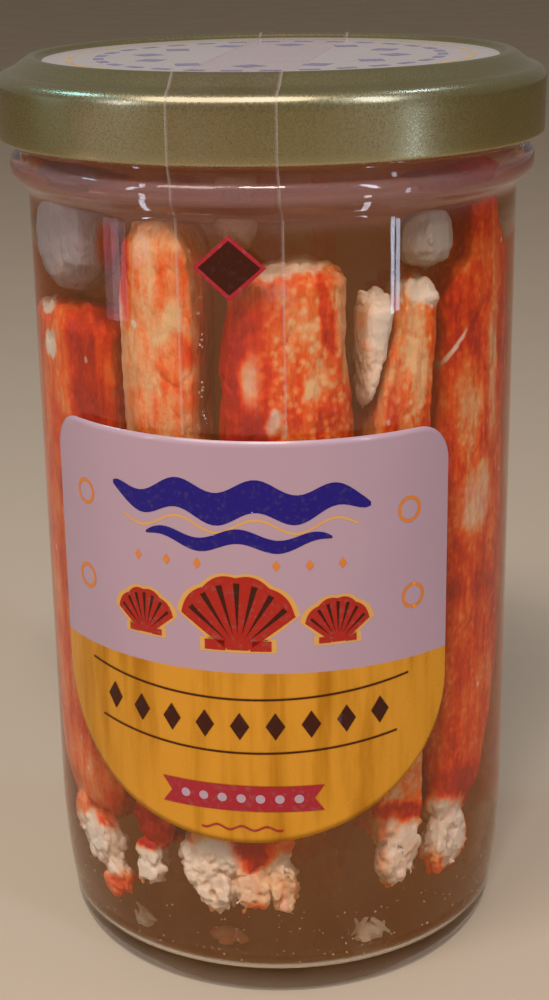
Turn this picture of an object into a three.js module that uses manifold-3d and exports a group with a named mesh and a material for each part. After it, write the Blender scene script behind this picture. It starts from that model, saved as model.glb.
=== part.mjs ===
// A glass preserving jar packed with king crab leg meat, under a gold twist-off lid.
// Millimetres, +Z up, the origin at the middle of the foot, the label facing -Y.
// An azimuth is counted in degrees round the jar's axis, from -Y towards +X.

import * as THREE from 'three';
import { mergeVertices } from 'three/addons/utils/BufferGeometryUtils.js';
import Module from 'manifold-3d';

const wasm = await Module();
wasm.setup();

// The gap kept between neighbouring pieces, and under the tape, which crosses facets
const GAP = 0.3;
const TAPE_GAP = 0.4;

// The glass jar: its foot, heel and wall
const BODY_RADIUS = 38.6;
const WALL = 2.4;
const BORE_RADIUS = BODY_RADIUS - WALL;
const FOOT_RADIUS = 33.5;
const FOOT_WIDTH = 3.0;
const PUSH_UP = 1.1;
const PUSH_UP_RADIUS = 28.1;
const PUSH_UP_EDGE = 0.9;
const HEEL_RADIUS = 37.2;
const HEEL_HEIGHT = 6.0;
const HEEL_STEPS = 5;
const SWELL_RADIUS = 38.1;
const SWELL_Z = 13.0;
const WALL_START = 22.0;
const WALL_END = 127.5;

// The jar's inside floor, slightly crowned, with a fillet up to the wall
const FLOOR_Z = 4.4;
const FLOOR_CROWN = 0.8;
const FLOOR_FILLET = 6.0;
const FLOOR_STEPS = 4;
const FLOOR_EDGE = 0.5;

// The bead under the lid, the neck above it and the threaded mouth
const BEAD_RADIUS = 41.3;
const BEAD_LOW = 130.2;
const BEAD_HIGH = 132.3;
const BEAD_ROUND = 0.5;
const BEAD_ROOT_RADIUS = 39.5;
const BEAD_ROOT_Z = 128.6;
const NECK_RADIUS = 39.2;
const NECK_Z = 134.6;
const FINISH_RADIUS = 39.6;
const FINISH_Z = 136.0;
const RIM_Z = 144.6;
const RIM_ROUND = 1.1;
const GLASS_SIDES = 56;

// The thread ridges on the jar's mouth
const THREAD_STARTS = 6;
const THREAD_REACH = 1.15;
const THREAD_HEIGHT = 1.7;
const THREAD_ARC = 50;
const THREAD_RISE = 2.4;
const THREAD_Z = 138.6;
const THREAD_STEPS = 7;
const THREAD_SINK = 0.8;
const THREAD_RUN_OUT = 0.06;
const THREAD_FLANK = 0.75;

// The lid: its skirt, rounded shoulder, groove, raised rim and sunk panel
const LID_RADIUS = 42.75;
const LID_SHEET = 0.45;
const LID_BOTTOM = 135.4;
const LID_SHOULDER = 143.4;
const SHOULDER_ROUND = 2.05;
const LID_GROOVE_RADIUS = 40.7;
const LID_GROOVE_Z = 145.45;
const LID_RIM_RADIUS = 37.2;
const LID_RIM_ROUND = 0.9;
const LID_TOP = 147.6;
const PANEL_RADIUS = 36.0;
const PANEL_Z = 146.8;
const CURL_ROUND = 0.6;
const CURL_DEPTH = 1.3;
const CURL_HEIGHT = 1.5;
const LID_SIDES = 56;

// The lugs pressed out of the lid's curl
const LUG_COUNT = 6;
const LUG_REACH = 1.65;
const LUG_ROOT = 0.6;
const LUG_WIDTH = 9.0;
const LUG_HEIGHT = 0.9;
const LUG_LOW = 0.35;
const LUG_HOLLOW = 0.25;

// The soft sealing ring under the lid
const SEAL_INNER = 35.9;
const SEAL_OUTER = 39.3;
const SEAL_INNER_EDGE = 1.0;
const SEAL_OUTER_EDGE = 0.35;
const SEAL_CREST = 1.6;
const SEAL_CREST_WIDTH = 0.7;

// The label
const LABEL_HALF_WIDTH = 34.6;
const LABEL_TOP = 95.5;
const LABEL_CORNER = 6.0;
const LABEL_BOWL_Z = 54.3;
const LABEL_BOWL_DEPTH = 24.5;
const LABEL_THICK = 0.4;
const LABEL_COLUMNS = 44;

// The clear seal tape, over the lid and down both sides
const TAPE_WIDTH = 15.6;
const TAPE_THICK = 0.4;
const TAPE_COLUMNS = 6;
const TAPE_END_BACK = 96.2;
const TAPE_PART_Z = 135.05;
const TAPE_PART_RADIUS = 42.25;
const TAPE_LID_LOW = 135.5;

// The lengths of leg flesh: rings close together at both ends, and a few between
const END_RINGS = [0, 0.1, 0.4, 1];
const MIDDLE_RINGS = 4;
const SHOWN_SIDES = 18;
const INNER_SIDES = 12;
const END_LEAST = 0.32;
const END_BULGE = 0.5;
const CROWN_LENGTH = 3;
const FOOT_LENGTH = 7;
const FOOT_SCALE = 0.62;
const HEAD_SCALE = 0.82;
const FOOT_TAPER = 0.42;
const HEAD_TAPER = 0.2;
const TAPER_POWER = 0.8;
const SWELL_DEPTH = 0.035;
const SWELL_WAVES = 1.4;
const BUNDLE_COUNT = 5;
const BUNDLE_DEPTH = 0.075;
const BUNDLE_DRIFT = 1.1;
const LOBE_DEPTH = 0.03;
const CREASE_DEPTH = 0.11;
const CREASE_WIDTH = 0.4;

// Flesh that is pressed against the glass: how far out it reaches, and how square it gets
const PRESS_RADIUS = 35.75;
const PRESS_POWER = 0.28;
const PRESS_SWELL = 1.09;
const PRESS_LEAN = 0.045;
const WALL_FLESH_RADIUS = 28;
const WALL_FLESH_DEPTH = 8.6;
const BACK_HALF_ANGLE = 21;
const BACK_FOOT_SCALE = 0.8;
const BACK_FOOT_TOP = 40;
const BACK_LOW = 14.8;

// The torn strands under a length of flesh at the back or in the middle
const STRAND_SIDES = 6;
const STRAND_RINGS = [0, 0.55, 1];
const STRAND_TAPER = 0.5;
const STRAND_UNEVEN = 0.14;
const STRAND_BEND = 0.12;
const STRAND_ROOT = 4;
const STRAND_SPREAD = 0.5;
const STRAND_LEAN = 0.24;
const STRAND_COUNT = 3;
const STRAND_LENGTH = [9, 11.4];
const STRAND_WIDTH = [4.6, 6.0];
const STRAND_THICK = [3.2, 4.0];

// The rounded lumps: pale ends, torn clumps, and crumbs on the floor
const LUMP_WAVES = 4;
const LUMP_UNEVEN = 0.07;
const CLUMP_UNEVEN = 0.16;
const CLUMP_DEPTH = 5;
const CLUMP_PRESS = 2.4;
const END_LUMP = { sides: 14, steps: 8 };
const CLUMP = { sides: 9, steps: 6 };
const CRUMB = { sides: 9, steps: 6 };

const TURN = 2 * Math.PI;
const rad = THREE.MathUtils.degToRad;

const finishes = {
  glass: { color: 0xdfe8e4, roughness: 0.04, metalness: 0, transparent: true, opacity: 0.3 },
  gold: { color: 0xa8925a, roughness: 0.34, metalness: 0.85 },
  seal: { color: 0xd9d2c4, roughness: 0.6, metalness: 0 },
  label: { color: 0xb8a2b4, roughness: 0.35, metalness: 0 },
  tape: { color: 0xc9b8c4, roughness: 0.2, metalness: 0, transparent: true, opacity: 0.35 },
  red: { color: 0xc4411f, roughness: 0.45, metalness: 0 },
  orange: { color: 0xd8794a, roughness: 0.45, metalness: 0 },
  cream: { color: 0xd9b48c, roughness: 0.5, metalness: 0 },
  white: { color: 0xc9bcae, roughness: 0.55, metalness: 0 },
};

// A seeded random source, so that each piece comes out the same every time
function makeRandom(seed) {
  let state = seed >>> 0;
  return () => {
    state = (state + 0x6d2b79f5) >>> 0;
    let t = state;
    t = Math.imul(t ^ (t >>> 15), t | 1);
    t ^= t + Math.imul(t ^ (t >>> 7), t | 61);
    return ((t ^ (t >>> 14)) >>> 0) / 2 ** 32;
  };
}

const between = (random, low, high) => low + (high - low) * random();

// A point at a radius from the axis, in the direction of an azimuth
function polar(radius, azimuth, z = 0) {
  return new THREE.Vector3(radius * Math.sin(rad(azimuth)), -radius * Math.cos(rad(azimuth)), z);
}

// Profile points [radius, z] round a centre, between two angles in degrees
function arc(centreRadius, centreZ, round, from, to, steps) {
  return Array.from({ length: steps + 1 }, (_, i) => {
    const a = rad(from + (to - from) * (i / steps));
    return [centreRadius + round * Math.cos(a), centreZ + round * Math.sin(a)];
  });
}

// Points of a quarter ellipse from (r0, z0) to (r1, z1); it leaves the first point level
function quarterOut(r0, z0, r1, z1, steps) {
  return Array.from({ length: steps + 1 }, (_, i) => {
    const a = (Math.PI / 2) * (i / steps);
    return [r0 + (r1 - r0) * Math.sin(a), z0 + (z1 - z0) * (1 - Math.cos(a))];
  });
}

// A profile of [radius, z] points moved outwards by a distance, square to its own run
function offsetProfile(profile, distance) {
  return profile.map(([r, z], i) => {
    const [r0, z0] = profile[Math.max(0, i - 1)];
    const [r1, z1] = profile[Math.min(profile.length - 1, i + 1)];
    const length = Math.hypot(r1 - r0, z1 - z0);
    return [r + (distance * (z1 - z0)) / length, z - (distance * (r1 - r0)) / length];
  });
}

// A ring or cup turned about +Z from a profile of [radius, z] points
function turned(profile, sides) {
  const points = profile.map(([r, z]) => new THREE.Vector2(r, z));
  const geometry = new THREE.LatheGeometry(points, sides);
  geometry.rotateX(Math.PI / 2);
  return geometry;
}

// A geometry from flat lists of positions and of corner numbers
function meshOf(positions, indices) {
  const geometry = new THREE.BufferGeometry();
  geometry.setAttribute('position', new THREE.Float32BufferAttribute(positions, 3));
  geometry.setIndex(indices);
  geometry.computeVertexNormals();
  return geometry;
}

// A closed body from rings of points, each ring with the same count, and a point at each end
function loft(rings, startPoint, endPoint) {
  const count = rings[0].length;
  const positions = [startPoint, ...rings.flat(), endPoint].flatMap((p) => p.toArray());
  const indices = [];
  const last = 1 + rings.length * count;
  const at = (i, j) => 1 + i * count + (j % count);
  for (let j = 0; j < count; j += 1) {
    indices.push(0, at(0, j + 1), at(0, j));
    indices.push(last, at(rings.length - 1, j), at(rings.length - 1, j + 1));
  }
  for (let i = 0; i + 1 < rings.length; i += 1) {
    for (let j = 0; j < count; j += 1) {
      indices.push(at(i, j), at(i, j + 1), at(i + 1, j + 1));
      indices.push(at(i, j), at(i + 1, j + 1), at(i + 1, j));
    }
  }
  return meshOf(positions, indices);
}

// The grid places round the edge of a sheet, in order
function sheetBorder(rows, columns) {
  const border = [];
  for (let j = 0; j + 1 < columns; j += 1) {
    border.push([0, j]);
  }
  for (let i = 0; i + 1 < rows; i += 1) {
    border.push([i, columns - 1]);
  }
  for (let j = columns - 1; j > 0; j -= 1) {
    border.push([rows - 1, j]);
  }
  for (let i = rows - 1; i > 0; i -= 1) {
    border.push([i, 0]);
  }
  return border;
}

// A thin sheet between two faces given as grids of points, split alike on both
function sheet(outer, inner) {
  const rows = outer.length;
  const columns = outer[0].length;
  const positions = [...outer.flat(), ...inner.flat()].flatMap((p) => p.toArray());
  const indices = [];
  const at = (side, i, j) => side * rows * columns + i * columns + j;
  for (let i = 0; i + 1 < rows; i += 1) {
    for (let j = 0; j + 1 < columns; j += 1) {
      indices.push(at(0, i, j), at(0, i, j + 1), at(0, i + 1, j + 1));
      indices.push(at(0, i, j), at(0, i + 1, j + 1), at(0, i + 1, j));
      indices.push(at(1, i, j), at(1, i + 1, j + 1), at(1, i, j + 1));
      indices.push(at(1, i, j), at(1, i + 1, j), at(1, i + 1, j + 1));
    }
  }
  const border = sheetBorder(rows, columns);
  border.forEach(([i, j], k) => {
    const [m, n] = border[(k + 1) % border.length];
    indices.push(at(0, i, j), at(1, i, j), at(1, m, n));
    indices.push(at(0, i, j), at(1, m, n), at(0, m, n));
  });
  return meshOf(positions, indices);
}

// The solid of a closed geometry, for joining
function toSolid(geometry) {
  const plain = geometry.clone();
  plain.deleteAttribute('normal');
  plain.deleteAttribute('uv');
  const merged = mergeVertices(plain, 1e-4);
  const triangles = [];
  const index = merged.index.array;
  for (let i = 0; i < index.length; i += 3) {
    const [a, b, c] = [index[i], index[i + 1], index[i + 2]];
    if (a !== b && b !== c && c !== a) {
      triangles.push(a, b, c);
    }
  }
  return new wasm.Manifold(new wasm.Mesh({
    numProp: 3,
    vertProperties: new Float32Array(merged.attributes.position.array),
    triVerts: new Uint32Array(triangles),
  }));
}

// Several closed geometries joined into one body, of which the largest surface is kept
function joined(geometries) {
  const solid = geometries.map(toSolid).reduce((sum, next) => sum.add(next));
  const largest = solid.decompose().reduce((a, b) => (b.volume() > a.volume() ? b : a));
  const mesh = largest.getMesh();
  return meshOf(Array.from(mesh.vertProperties), Array.from(mesh.triVerts));
}

const middleOf = (p, q) => p.clone().lerp(q, 0.5);

// One short thread ridge: a lofted bar that climbs round the mouth, with its ends run out
function threadRidge(start) {
  const root = FINISH_RADIUS - THREAD_SINK;
  const rings = Array.from({ length: THREAD_STEPS + 1 }, (_, i) => {
    const t = i / THREAD_STEPS;
    const azimuth = start + THREAD_ARC * t;
    const z = THREAD_Z + THREAD_RISE * (0.5 - t);
    const fade = Math.sqrt(Math.sin(Math.PI * THREE.MathUtils.lerp(THREAD_RUN_OUT, 1 - THREAD_RUN_OUT, t)));
    const reach = THREAD_REACH * fade;
    const half = (THREAD_HEIGHT / 2) * fade;
    return [
      polar(root, azimuth, z + half),
      polar(FINISH_RADIUS + reach * THREAD_FLANK, azimuth, z + half * THREAD_FLANK),
      polar(FINISH_RADIUS + reach, azimuth, z),
      polar(FINISH_RADIUS + reach * THREAD_FLANK, azimuth, z - half * THREAD_FLANK),
      polar(root, azimuth, z - half),
    ];
  });
  const ends = [rings[0], rings[THREAD_STEPS]].map((ring) => middleOf(ring[0], ring[4]));
  return loft(rings, ends[0], ends[1]);
}

// The lower side and the crest of the bead, which the seal tape follows too
const beadProfile = [
  [BODY_RADIUS, WALL_END],
  [BEAD_ROOT_RADIUS, BEAD_ROOT_Z],
  [BEAD_RADIUS - BEAD_ROUND, BEAD_LOW - BEAD_ROUND],
  [BEAD_RADIUS, BEAD_LOW + BEAD_ROUND],
  [BEAD_RADIUS, BEAD_HIGH - BEAD_ROUND],
];

function glassJar() {
  const outside = [
    [0, PUSH_UP],
    [PUSH_UP_RADIUS, PUSH_UP_EDGE],
    [FOOT_RADIUS - FOOT_WIDTH, 0],
    ...quarterOut(FOOT_RADIUS, 0, HEEL_RADIUS, HEEL_HEIGHT, HEEL_STEPS),
    [SWELL_RADIUS, SWELL_Z],
    [BODY_RADIUS, WALL_START],
    ...beadProfile,
    [BEAD_RADIUS - BEAD_ROUND, BEAD_HIGH + BEAD_ROUND],
    [NECK_RADIUS + BEAD_ROUND, NECK_Z - BEAD_ROUND],
    [NECK_RADIUS, NECK_Z],
    [FINISH_RADIUS, FINISH_Z],
    ...arc(FINISH_RADIUS - RIM_ROUND, RIM_Z - RIM_ROUND, RIM_ROUND, 0, 90, 2),
  ];
  const fillet = quarterOut(
    BORE_RADIUS - FLOOR_FILLET,
    FLOOR_Z,
    BORE_RADIUS - FLOOR_EDGE,
    FLOOR_Z + FLOOR_FILLET,
    FLOOR_STEPS,
  );
  const inside = [
    ...arc(BORE_RADIUS + RIM_ROUND, RIM_Z - RIM_ROUND, RIM_ROUND, 90, 180, 2),
    [BORE_RADIUS, WALL_START],
    ...fillet.reverse(),
    [0, FLOOR_Z + FLOOR_CROWN],
  ];
  const ridges = Array.from({ length: THREAD_STARTS }, (_, i) => threadRidge((360 / THREAD_STARTS) * i));
  return joined([turned([...outside, ...inside], GLASS_SIDES), ...ridges]);
}

// The lid's outside from the top of the skirt to the edge of the panel
const lidCrown = [
  ...arc(LID_RADIUS - SHOULDER_ROUND, LID_SHOULDER, SHOULDER_ROUND, 0, 60, 2),
  [LID_GROOVE_RADIUS, LID_GROOVE_Z],
  ...arc(LID_RIM_RADIUS, LID_TOP - LID_RIM_ROUND, LID_RIM_ROUND, 45, 135, 2),
  [PANEL_RADIUS, PANEL_Z],
];

// A pressed lug: a short curved block on the inside of the lid's curl
function lidLug(azimuth) {
  const half = THREE.MathUtils.radToDeg(LUG_WIDTH / 2 / LID_RADIUS);
  const low = LID_BOTTOM + LUG_LOW;
  const outer = LID_RADIUS - LUG_ROOT;
  const rings = [-1, -0.5, 0, 0.5, 1].map((k) => {
    const inner = LID_RADIUS - LUG_REACH + LUG_HOLLOW * k * k;
    return [
      polar(inner, azimuth + half * k, low + LUG_HEIGHT),
      polar(outer, azimuth + half * k, low + LUG_HEIGHT),
      polar(outer, azimuth + half * k, low),
      polar(inner, azimuth + half * k, low),
    ];
  });
  const ends = [rings[0], rings[4]].map((ring) => middleOf(ring[0], ring[2]));
  return loft(rings, ends[0], ends[1]);
}

function lidShell() {
  const curl = [
    [LID_RADIUS - LID_SHEET, LID_BOTTOM + CURL_HEIGHT + LID_SHEET],
    [LID_RADIUS - CURL_DEPTH, LID_BOTTOM + CURL_HEIGHT],
    [LID_RADIUS - CURL_DEPTH, LID_BOTTOM + CURL_ROUND],
    ...arc(LID_RADIUS - CURL_ROUND, LID_BOTTOM + CURL_ROUND, CURL_ROUND, -90, 0, 2),
  ];
  const profile = [
    [0, PANEL_Z - LID_SHEET],
    ...offsetProfile(lidCrown, -LID_SHEET).reverse(),
    ...curl,
    ...lidCrown,
    [0, PANEL_Z],
  ];
  const lugs = Array.from({ length: LUG_COUNT }, (_, i) => lidLug((360 / LUG_COUNT) * (i + 0.5)));
  return joined([turned(profile, LID_SIDES), ...lugs]);
}

// The sealing ring lies on the glass and rises into the hollow of the lid's rim
function sealRing() {
  const low = RIM_Z + GAP;
  const profile = [
    [SEAL_INNER, low],
    [SEAL_OUTER, low],
    [SEAL_OUTER, low + SEAL_OUTER_EDGE],
    [LID_RIM_RADIUS + SEAL_CREST_WIDTH / 2, low + SEAL_CREST],
    [LID_RIM_RADIUS - SEAL_CREST_WIDTH / 2, low + SEAL_CREST],
    [SEAL_INNER, low + SEAL_INNER_EDGE],
  ];
  return turned([...profile, profile[0]], GLASS_SIDES);
}

// The label's top and bottom height at a distance across from its middle line
function labelTop(across) {
  const over = Math.max(0, Math.abs(across) - (LABEL_HALF_WIDTH - LABEL_CORNER));
  return LABEL_TOP - LABEL_CORNER + Math.sqrt(Math.max(0, LABEL_CORNER ** 2 - over ** 2));
}

function labelBottom(across) {
  const bowl = Math.sqrt(Math.max(0, 1 - (across / LABEL_HALF_WIDTH) ** 2));
  return LABEL_BOWL_Z - LABEL_BOWL_DEPTH * bowl;
}

function label() {
  const face = (radius) => {
    const across = Array.from({ length: LABEL_COLUMNS + 1 }, (_, i) => (
      LABEL_HALF_WIDTH * Math.sin((Math.PI / 2) * ((2 * i) / LABEL_COLUMNS - 1))
    ));
    const row = (height) => across.map((x) => (
      polar(radius, THREE.MathUtils.radToDeg(x / BODY_RADIUS), height(x))
    ));
    return [row(labelBottom), row(labelTop)];
  };
  const inner = BODY_RADIUS + GAP;
  return sheet(face(inner + LABEL_THICK), face(inner));
}

// A row of the tape across its width; side is -1 at the front and 1 at the back
function tapeRow(radius, z, side) {
  return Array.from({ length: TAPE_COLUMNS + 1 }, (_, i) => {
    const x = TAPE_WIDTH * (i / TAPE_COLUMNS - 0.5);
    return new THREE.Vector3(x, side * Math.sqrt(radius ** 2 - x ** 2), z);
  });
}

// The tape on the glass, on the front or the back, from its lower end up to the lid's edge
function jarTape(side, lowest) {
  const path = [[BODY_RADIUS, lowest], ...beadProfile, [TAPE_PART_RADIUS, TAPE_PART_Z]];
  const rows = (distance) => offsetProfile(path, distance).map(([r, z]) => tapeRow(r, z, side));
  const near = rows(TAPE_GAP);
  const far = rows(TAPE_GAP + TAPE_THICK);
  return side < 0 ? sheet(far, near) : sheet(near, far);
}

// The tape over the lid: up the front, across the panel and down the back
function lidTape() {
  const climb = [[LID_RADIUS, TAPE_LID_LOW], ...lidCrown];
  const half = (distance, side) => (
    offsetProfile(climb, distance).map(([r, z]) => tapeRow(r, z, side))
  );
  const rows = (distance) => [...half(distance, -1), ...half(distance, 1).reverse()];
  return sheet(rows(TAPE_GAP + TAPE_THICK), rows(TAPE_GAP));
}

// A torn strand of flesh, from its root out to a blunt tip, wide across one direction
function strand({ root, along, across, length, width, thick, random }) {
  const direction = along.clone().normalize();
  const flat = across.clone().addScaledVector(direction, -across.dot(direction)).normalize();
  const normal = new THREE.Vector3().crossVectors(direction, flat);
  const bend = between(random, -STRAND_BEND, STRAND_BEND) * length;
  const rings = STRAND_RINGS.map((t) => {
    const centre = root.clone()
      .addScaledVector(direction, length * t)
      .addScaledVector(normal, bend * t * t);
    const swell = 1 - STRAND_TAPER * t * t + STRAND_UNEVEN * between(random, -1, 1);
    return Array.from({ length: STRAND_SIDES }, (_, j) => {
      const a = (TURN * j) / STRAND_SIDES;
      return centre.clone()
        .addScaledVector(flat, (width / 2) * swell * Math.cos(a))
        .addScaledVector(normal, (thick / 2) * swell * Math.sin(a));
    });
  });
  const tip = root.clone()
    .addScaledVector(direction, length + thick / 4)
    .addScaledVector(normal, bend);
  return loft(rings, root, tip);
}

// The strands under a length of flesh, rooted in a loop round its foot
function strands(piece, foot, outward, tangent, random) {
  const spread = STRAND_SPREAD * FOOT_SCALE;
  return Array.from({ length: STRAND_COUNT }, (_, k) => {
    const a = (TURN * (k + between(random, -0.2, 0.2))) / STRAND_COUNT;
    const root = foot.clone()
      .addScaledVector(tangent, piece.halfWidth * spread * Math.cos(a))
      .addScaledVector(outward, piece.halfDepth * spread * Math.sin(a));
    root.z += STRAND_ROOT;
    const along = new THREE.Vector3(0, 0, -1)
      .addScaledVector(tangent, STRAND_LEAN * Math.cos(a))
      .addScaledVector(outward, (STRAND_LEAN / 2) * Math.sin(a));
    return strand({
      root,
      along,
      across: tangent,
      length: between(random, ...STRAND_LENGTH),
      width: between(random, ...STRAND_WIDTH),
      thick: between(random, ...STRAND_THICK),
      random,
    });
  });
}

// Keeps a point of flesh off the glass, whose inside draws in a little towards the floor
function offTheGlass(point) {
  const reach = Math.hypot(point.x, point.y);
  const limit = PRESS_RADIUS - PRESS_LEAN * Math.max(0, WALL_START - point.z);
  const share = Math.min(1, limit / reach);
  return new THREE.Vector3(point.x * share, point.y * share, point.z);
}

// The heights of the rings along a length of flesh, close together at both ends
function ringHeights(piece, footLength, crownLength) {
  const foot = END_RINGS.map((e) => piece.low + e * footLength);
  const crown = END_RINGS.map((e) => piece.high - e * crownLength).reverse();
  const low = foot[foot.length - 1];
  const step = (crown[0] - low) / (MIDDLE_RINGS + 1);
  const middle = piece.patch
    ? piece.patch.map(([z]) => z).filter((z) => z > low + 1 && z < crown[0] - 1)
    : Array.from({ length: MIDDLE_RINGS }, (_, i) => low + step * (i + 1));
  return [...foot, ...middle, ...crown];
}

// The azimuths of the left and right edges of a patch of flesh on the glass, at a height
function edgesAt(patch, z) {
  const last = patch.length - 1;
  const height = Math.min(Math.max(z, patch[0][0]), patch[last][0]);
  const k = Math.max(1, patch.findIndex((row) => row[0] >= height));
  const [low, lowLeft, lowRight] = patch[k - 1];
  const [high, highLeft, highRight] = patch[k];
  const t = (height - low) / (high - low);
  return [lowLeft + (highLeft - lowLeft) * t, lowRight + (highRight - lowRight) * t];
}

// A point of the section of a length that is pressed on the glass: an ellipse of azimuth
// and radius, squarer on the side towards the glass
function pressedPoint(piece, z, a, scale) {
  const [left, right] = edgesAt(piece.patch, z);
  const azimuth = (left + right) / 2 + ((right - left) / 2) * scale * Math.sin(a);
  const out = Math.cos(a);
  const reach = out > 0 ? PRESS_SWELL * out ** PRESS_POWER : out;
  return offTheGlass(polar(piece.radius + piece.halfDepth * scale * reach, azimuth, z));
}

// A point of the section of a length that stands free in the middle of the jar
function freePoint(piece, z, a, scale) {
  return polar(piece.radius, piece.azimuth, z)
    .addScaledVector(polar(1, piece.azimuth), piece.halfDepth * scale * Math.cos(a))
    .addScaledVector(polar(1, piece.azimuth + 90), piece.halfWidth * scale * Math.sin(a));
}

const roundedEnd = (distance, length) => (
  Math.max(END_LEAST, Math.sqrt(Math.max(0, 1 - (1 - Math.min(1, distance / length)) ** 2)))
);

const taper = (least, distance, length) => (
  least + (1 - least) * Math.min(1, distance / length) ** TAPER_POWER
);

// A length of leg flesh out of its shell: bundles of fibre side by side, with a crease
// along it, a cut crown, and a drawn-in foot that ends in torn strands or clumps
function legFlesh(piece) {
  const random = makeRandom(piece.seed);
  const sides = piece.inner ? INNER_SIDES : SHOWN_SIDES;
  const sectionPoint = piece.patch ? pressedPoint : freePoint;
  const length = piece.high - piece.low;
  const footLength = piece.footLength ?? FOOT_LENGTH;
  const crownLength = piece.crownLength ?? CROWN_LENGTH;
  const bundlePhase = between(random, 0, TURN);
  const bundleDrift = between(random, -BUNDLE_DRIFT, BUNDLE_DRIFT);
  const lobePhase = between(random, 0, TURN);
  const swellPhase = between(random, 0, TURN);
  const crease = between(random, -1, 1);
  const girth = (a, t) => {
    const bundle = 0.5 - 0.5 * Math.cos(BUNDLE_COUNT * a + bundlePhase + bundleDrift * t);
    const lobe = 0.5 - 0.5 * Math.cos(2 * a + lobePhase - bundleDrift * t);
    const off = Math.atan2(Math.sin(a - crease), Math.cos(a - crease));
    const dent = Math.exp(-((off / CREASE_WIDTH) ** 2));
    return 1 - BUNDLE_DEPTH * bundle - LOBE_DEPTH * lobe - CREASE_DEPTH * dent;
  };
  const rings = ringHeights(piece, footLength, crownLength).map((z) => {
    const fromFoot = z - piece.low;
    const fromHead = piece.high - z;
    const scale = roundedEnd(fromFoot, footLength)
      * roundedEnd(fromHead, crownLength)
      * taper(piece.footScale ?? FOOT_SCALE, fromFoot, length * FOOT_TAPER)
      * taper(piece.headScale ?? HEAD_SCALE, fromHead, length * HEAD_TAPER)
      * (1 + SWELL_DEPTH * (Math.sin((TURN * fromFoot * SWELL_WAVES) / length + swellPhase) - 1));
    return Array.from({ length: sides }, (_, j) => {
      const a = (TURN * j) / sides;
      return sectionPoint(piece, z, a, scale * girth(a, fromFoot / length));
    });
  });
  const foot = sectionPoint(piece, piece.low, 0, 0);
  const under = foot.clone();
  under.z -= END_BULGE;
  const top = sectionPoint(piece, piece.high, 0, 0);
  top.z += END_BULGE;
  const parts = [loft(rings, under, top)];
  if (piece.stranded) {
    const outward = polar(1, piece.azimuth);
    const tangent = polar(1, piece.azimuth + 90);
    parts.push(...strands(piece, foot, outward, tangent, random));
  }
  (piece.clumps ?? []).forEach((clump, k) => {
    parts.push(lump({ ...clump, seed: piece.seed + k, shape: CLUMP, uneven: CLUMP_UNEVEN }));
  });
  return joined(parts);
}

// A rounded lump of flesh, lightly uneven
function lump({
  azimuth, radius, z, halfWidth, halfDepth, halfHeight, seed, shape, uneven = LUMP_UNEVEN,
}) {
  const random = makeRandom(seed);
  const centre = polar(radius, azimuth, z);
  const tangent = polar(1, azimuth + 90);
  const outward = polar(1, azimuth);
  const waves = Array.from({ length: LUMP_WAVES }, () => ({
    across: between(random, 2, 6),
    up: between(random, 2, 6),
    phase: between(random, 0, TURN),
  }));
  const rise = (w, a, v) => Math.sin(w.across * Math.cos(a) + w.up * Math.sin(a + v) + w.phase);
  const fullness = (a, v) => waves.reduce((sum, w) => sum - (uneven / 2) * (1 + rise(w, a, v)), 1);
  const rings = Array.from({ length: shape.steps - 1 }, (_, i) => {
    const v = (Math.PI * (i + 1)) / shape.steps - Math.PI / 2;
    return Array.from({ length: shape.sides }, (__, j) => {
      const a = (TURN * j) / shape.sides;
      const reach = Math.cos(v) * fullness(a, v);
      return offTheGlass(centre.clone()
        .addScaledVector(outward, halfDepth * reach * Math.cos(a))
        .addScaledVector(tangent, halfWidth * reach * Math.sin(a))
        .add(new THREE.Vector3(0, 0, halfHeight * Math.sin(v))));
    });
  });
  const low = centre.clone();
  low.z -= halfHeight;
  const high = centre.clone();
  high.z += halfHeight;
  return loft(rings, low, high);
}

// A torn clump of flesh whose outer part is flattened on the glass
function clump(azimuth, z, halfWidth, halfHeight) {
  return {
    azimuth, z, halfWidth, halfHeight, halfDepth: CLUMP_DEPTH, radius: PRESS_RADIUS - CLUMP_PRESS,
  };
}

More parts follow.
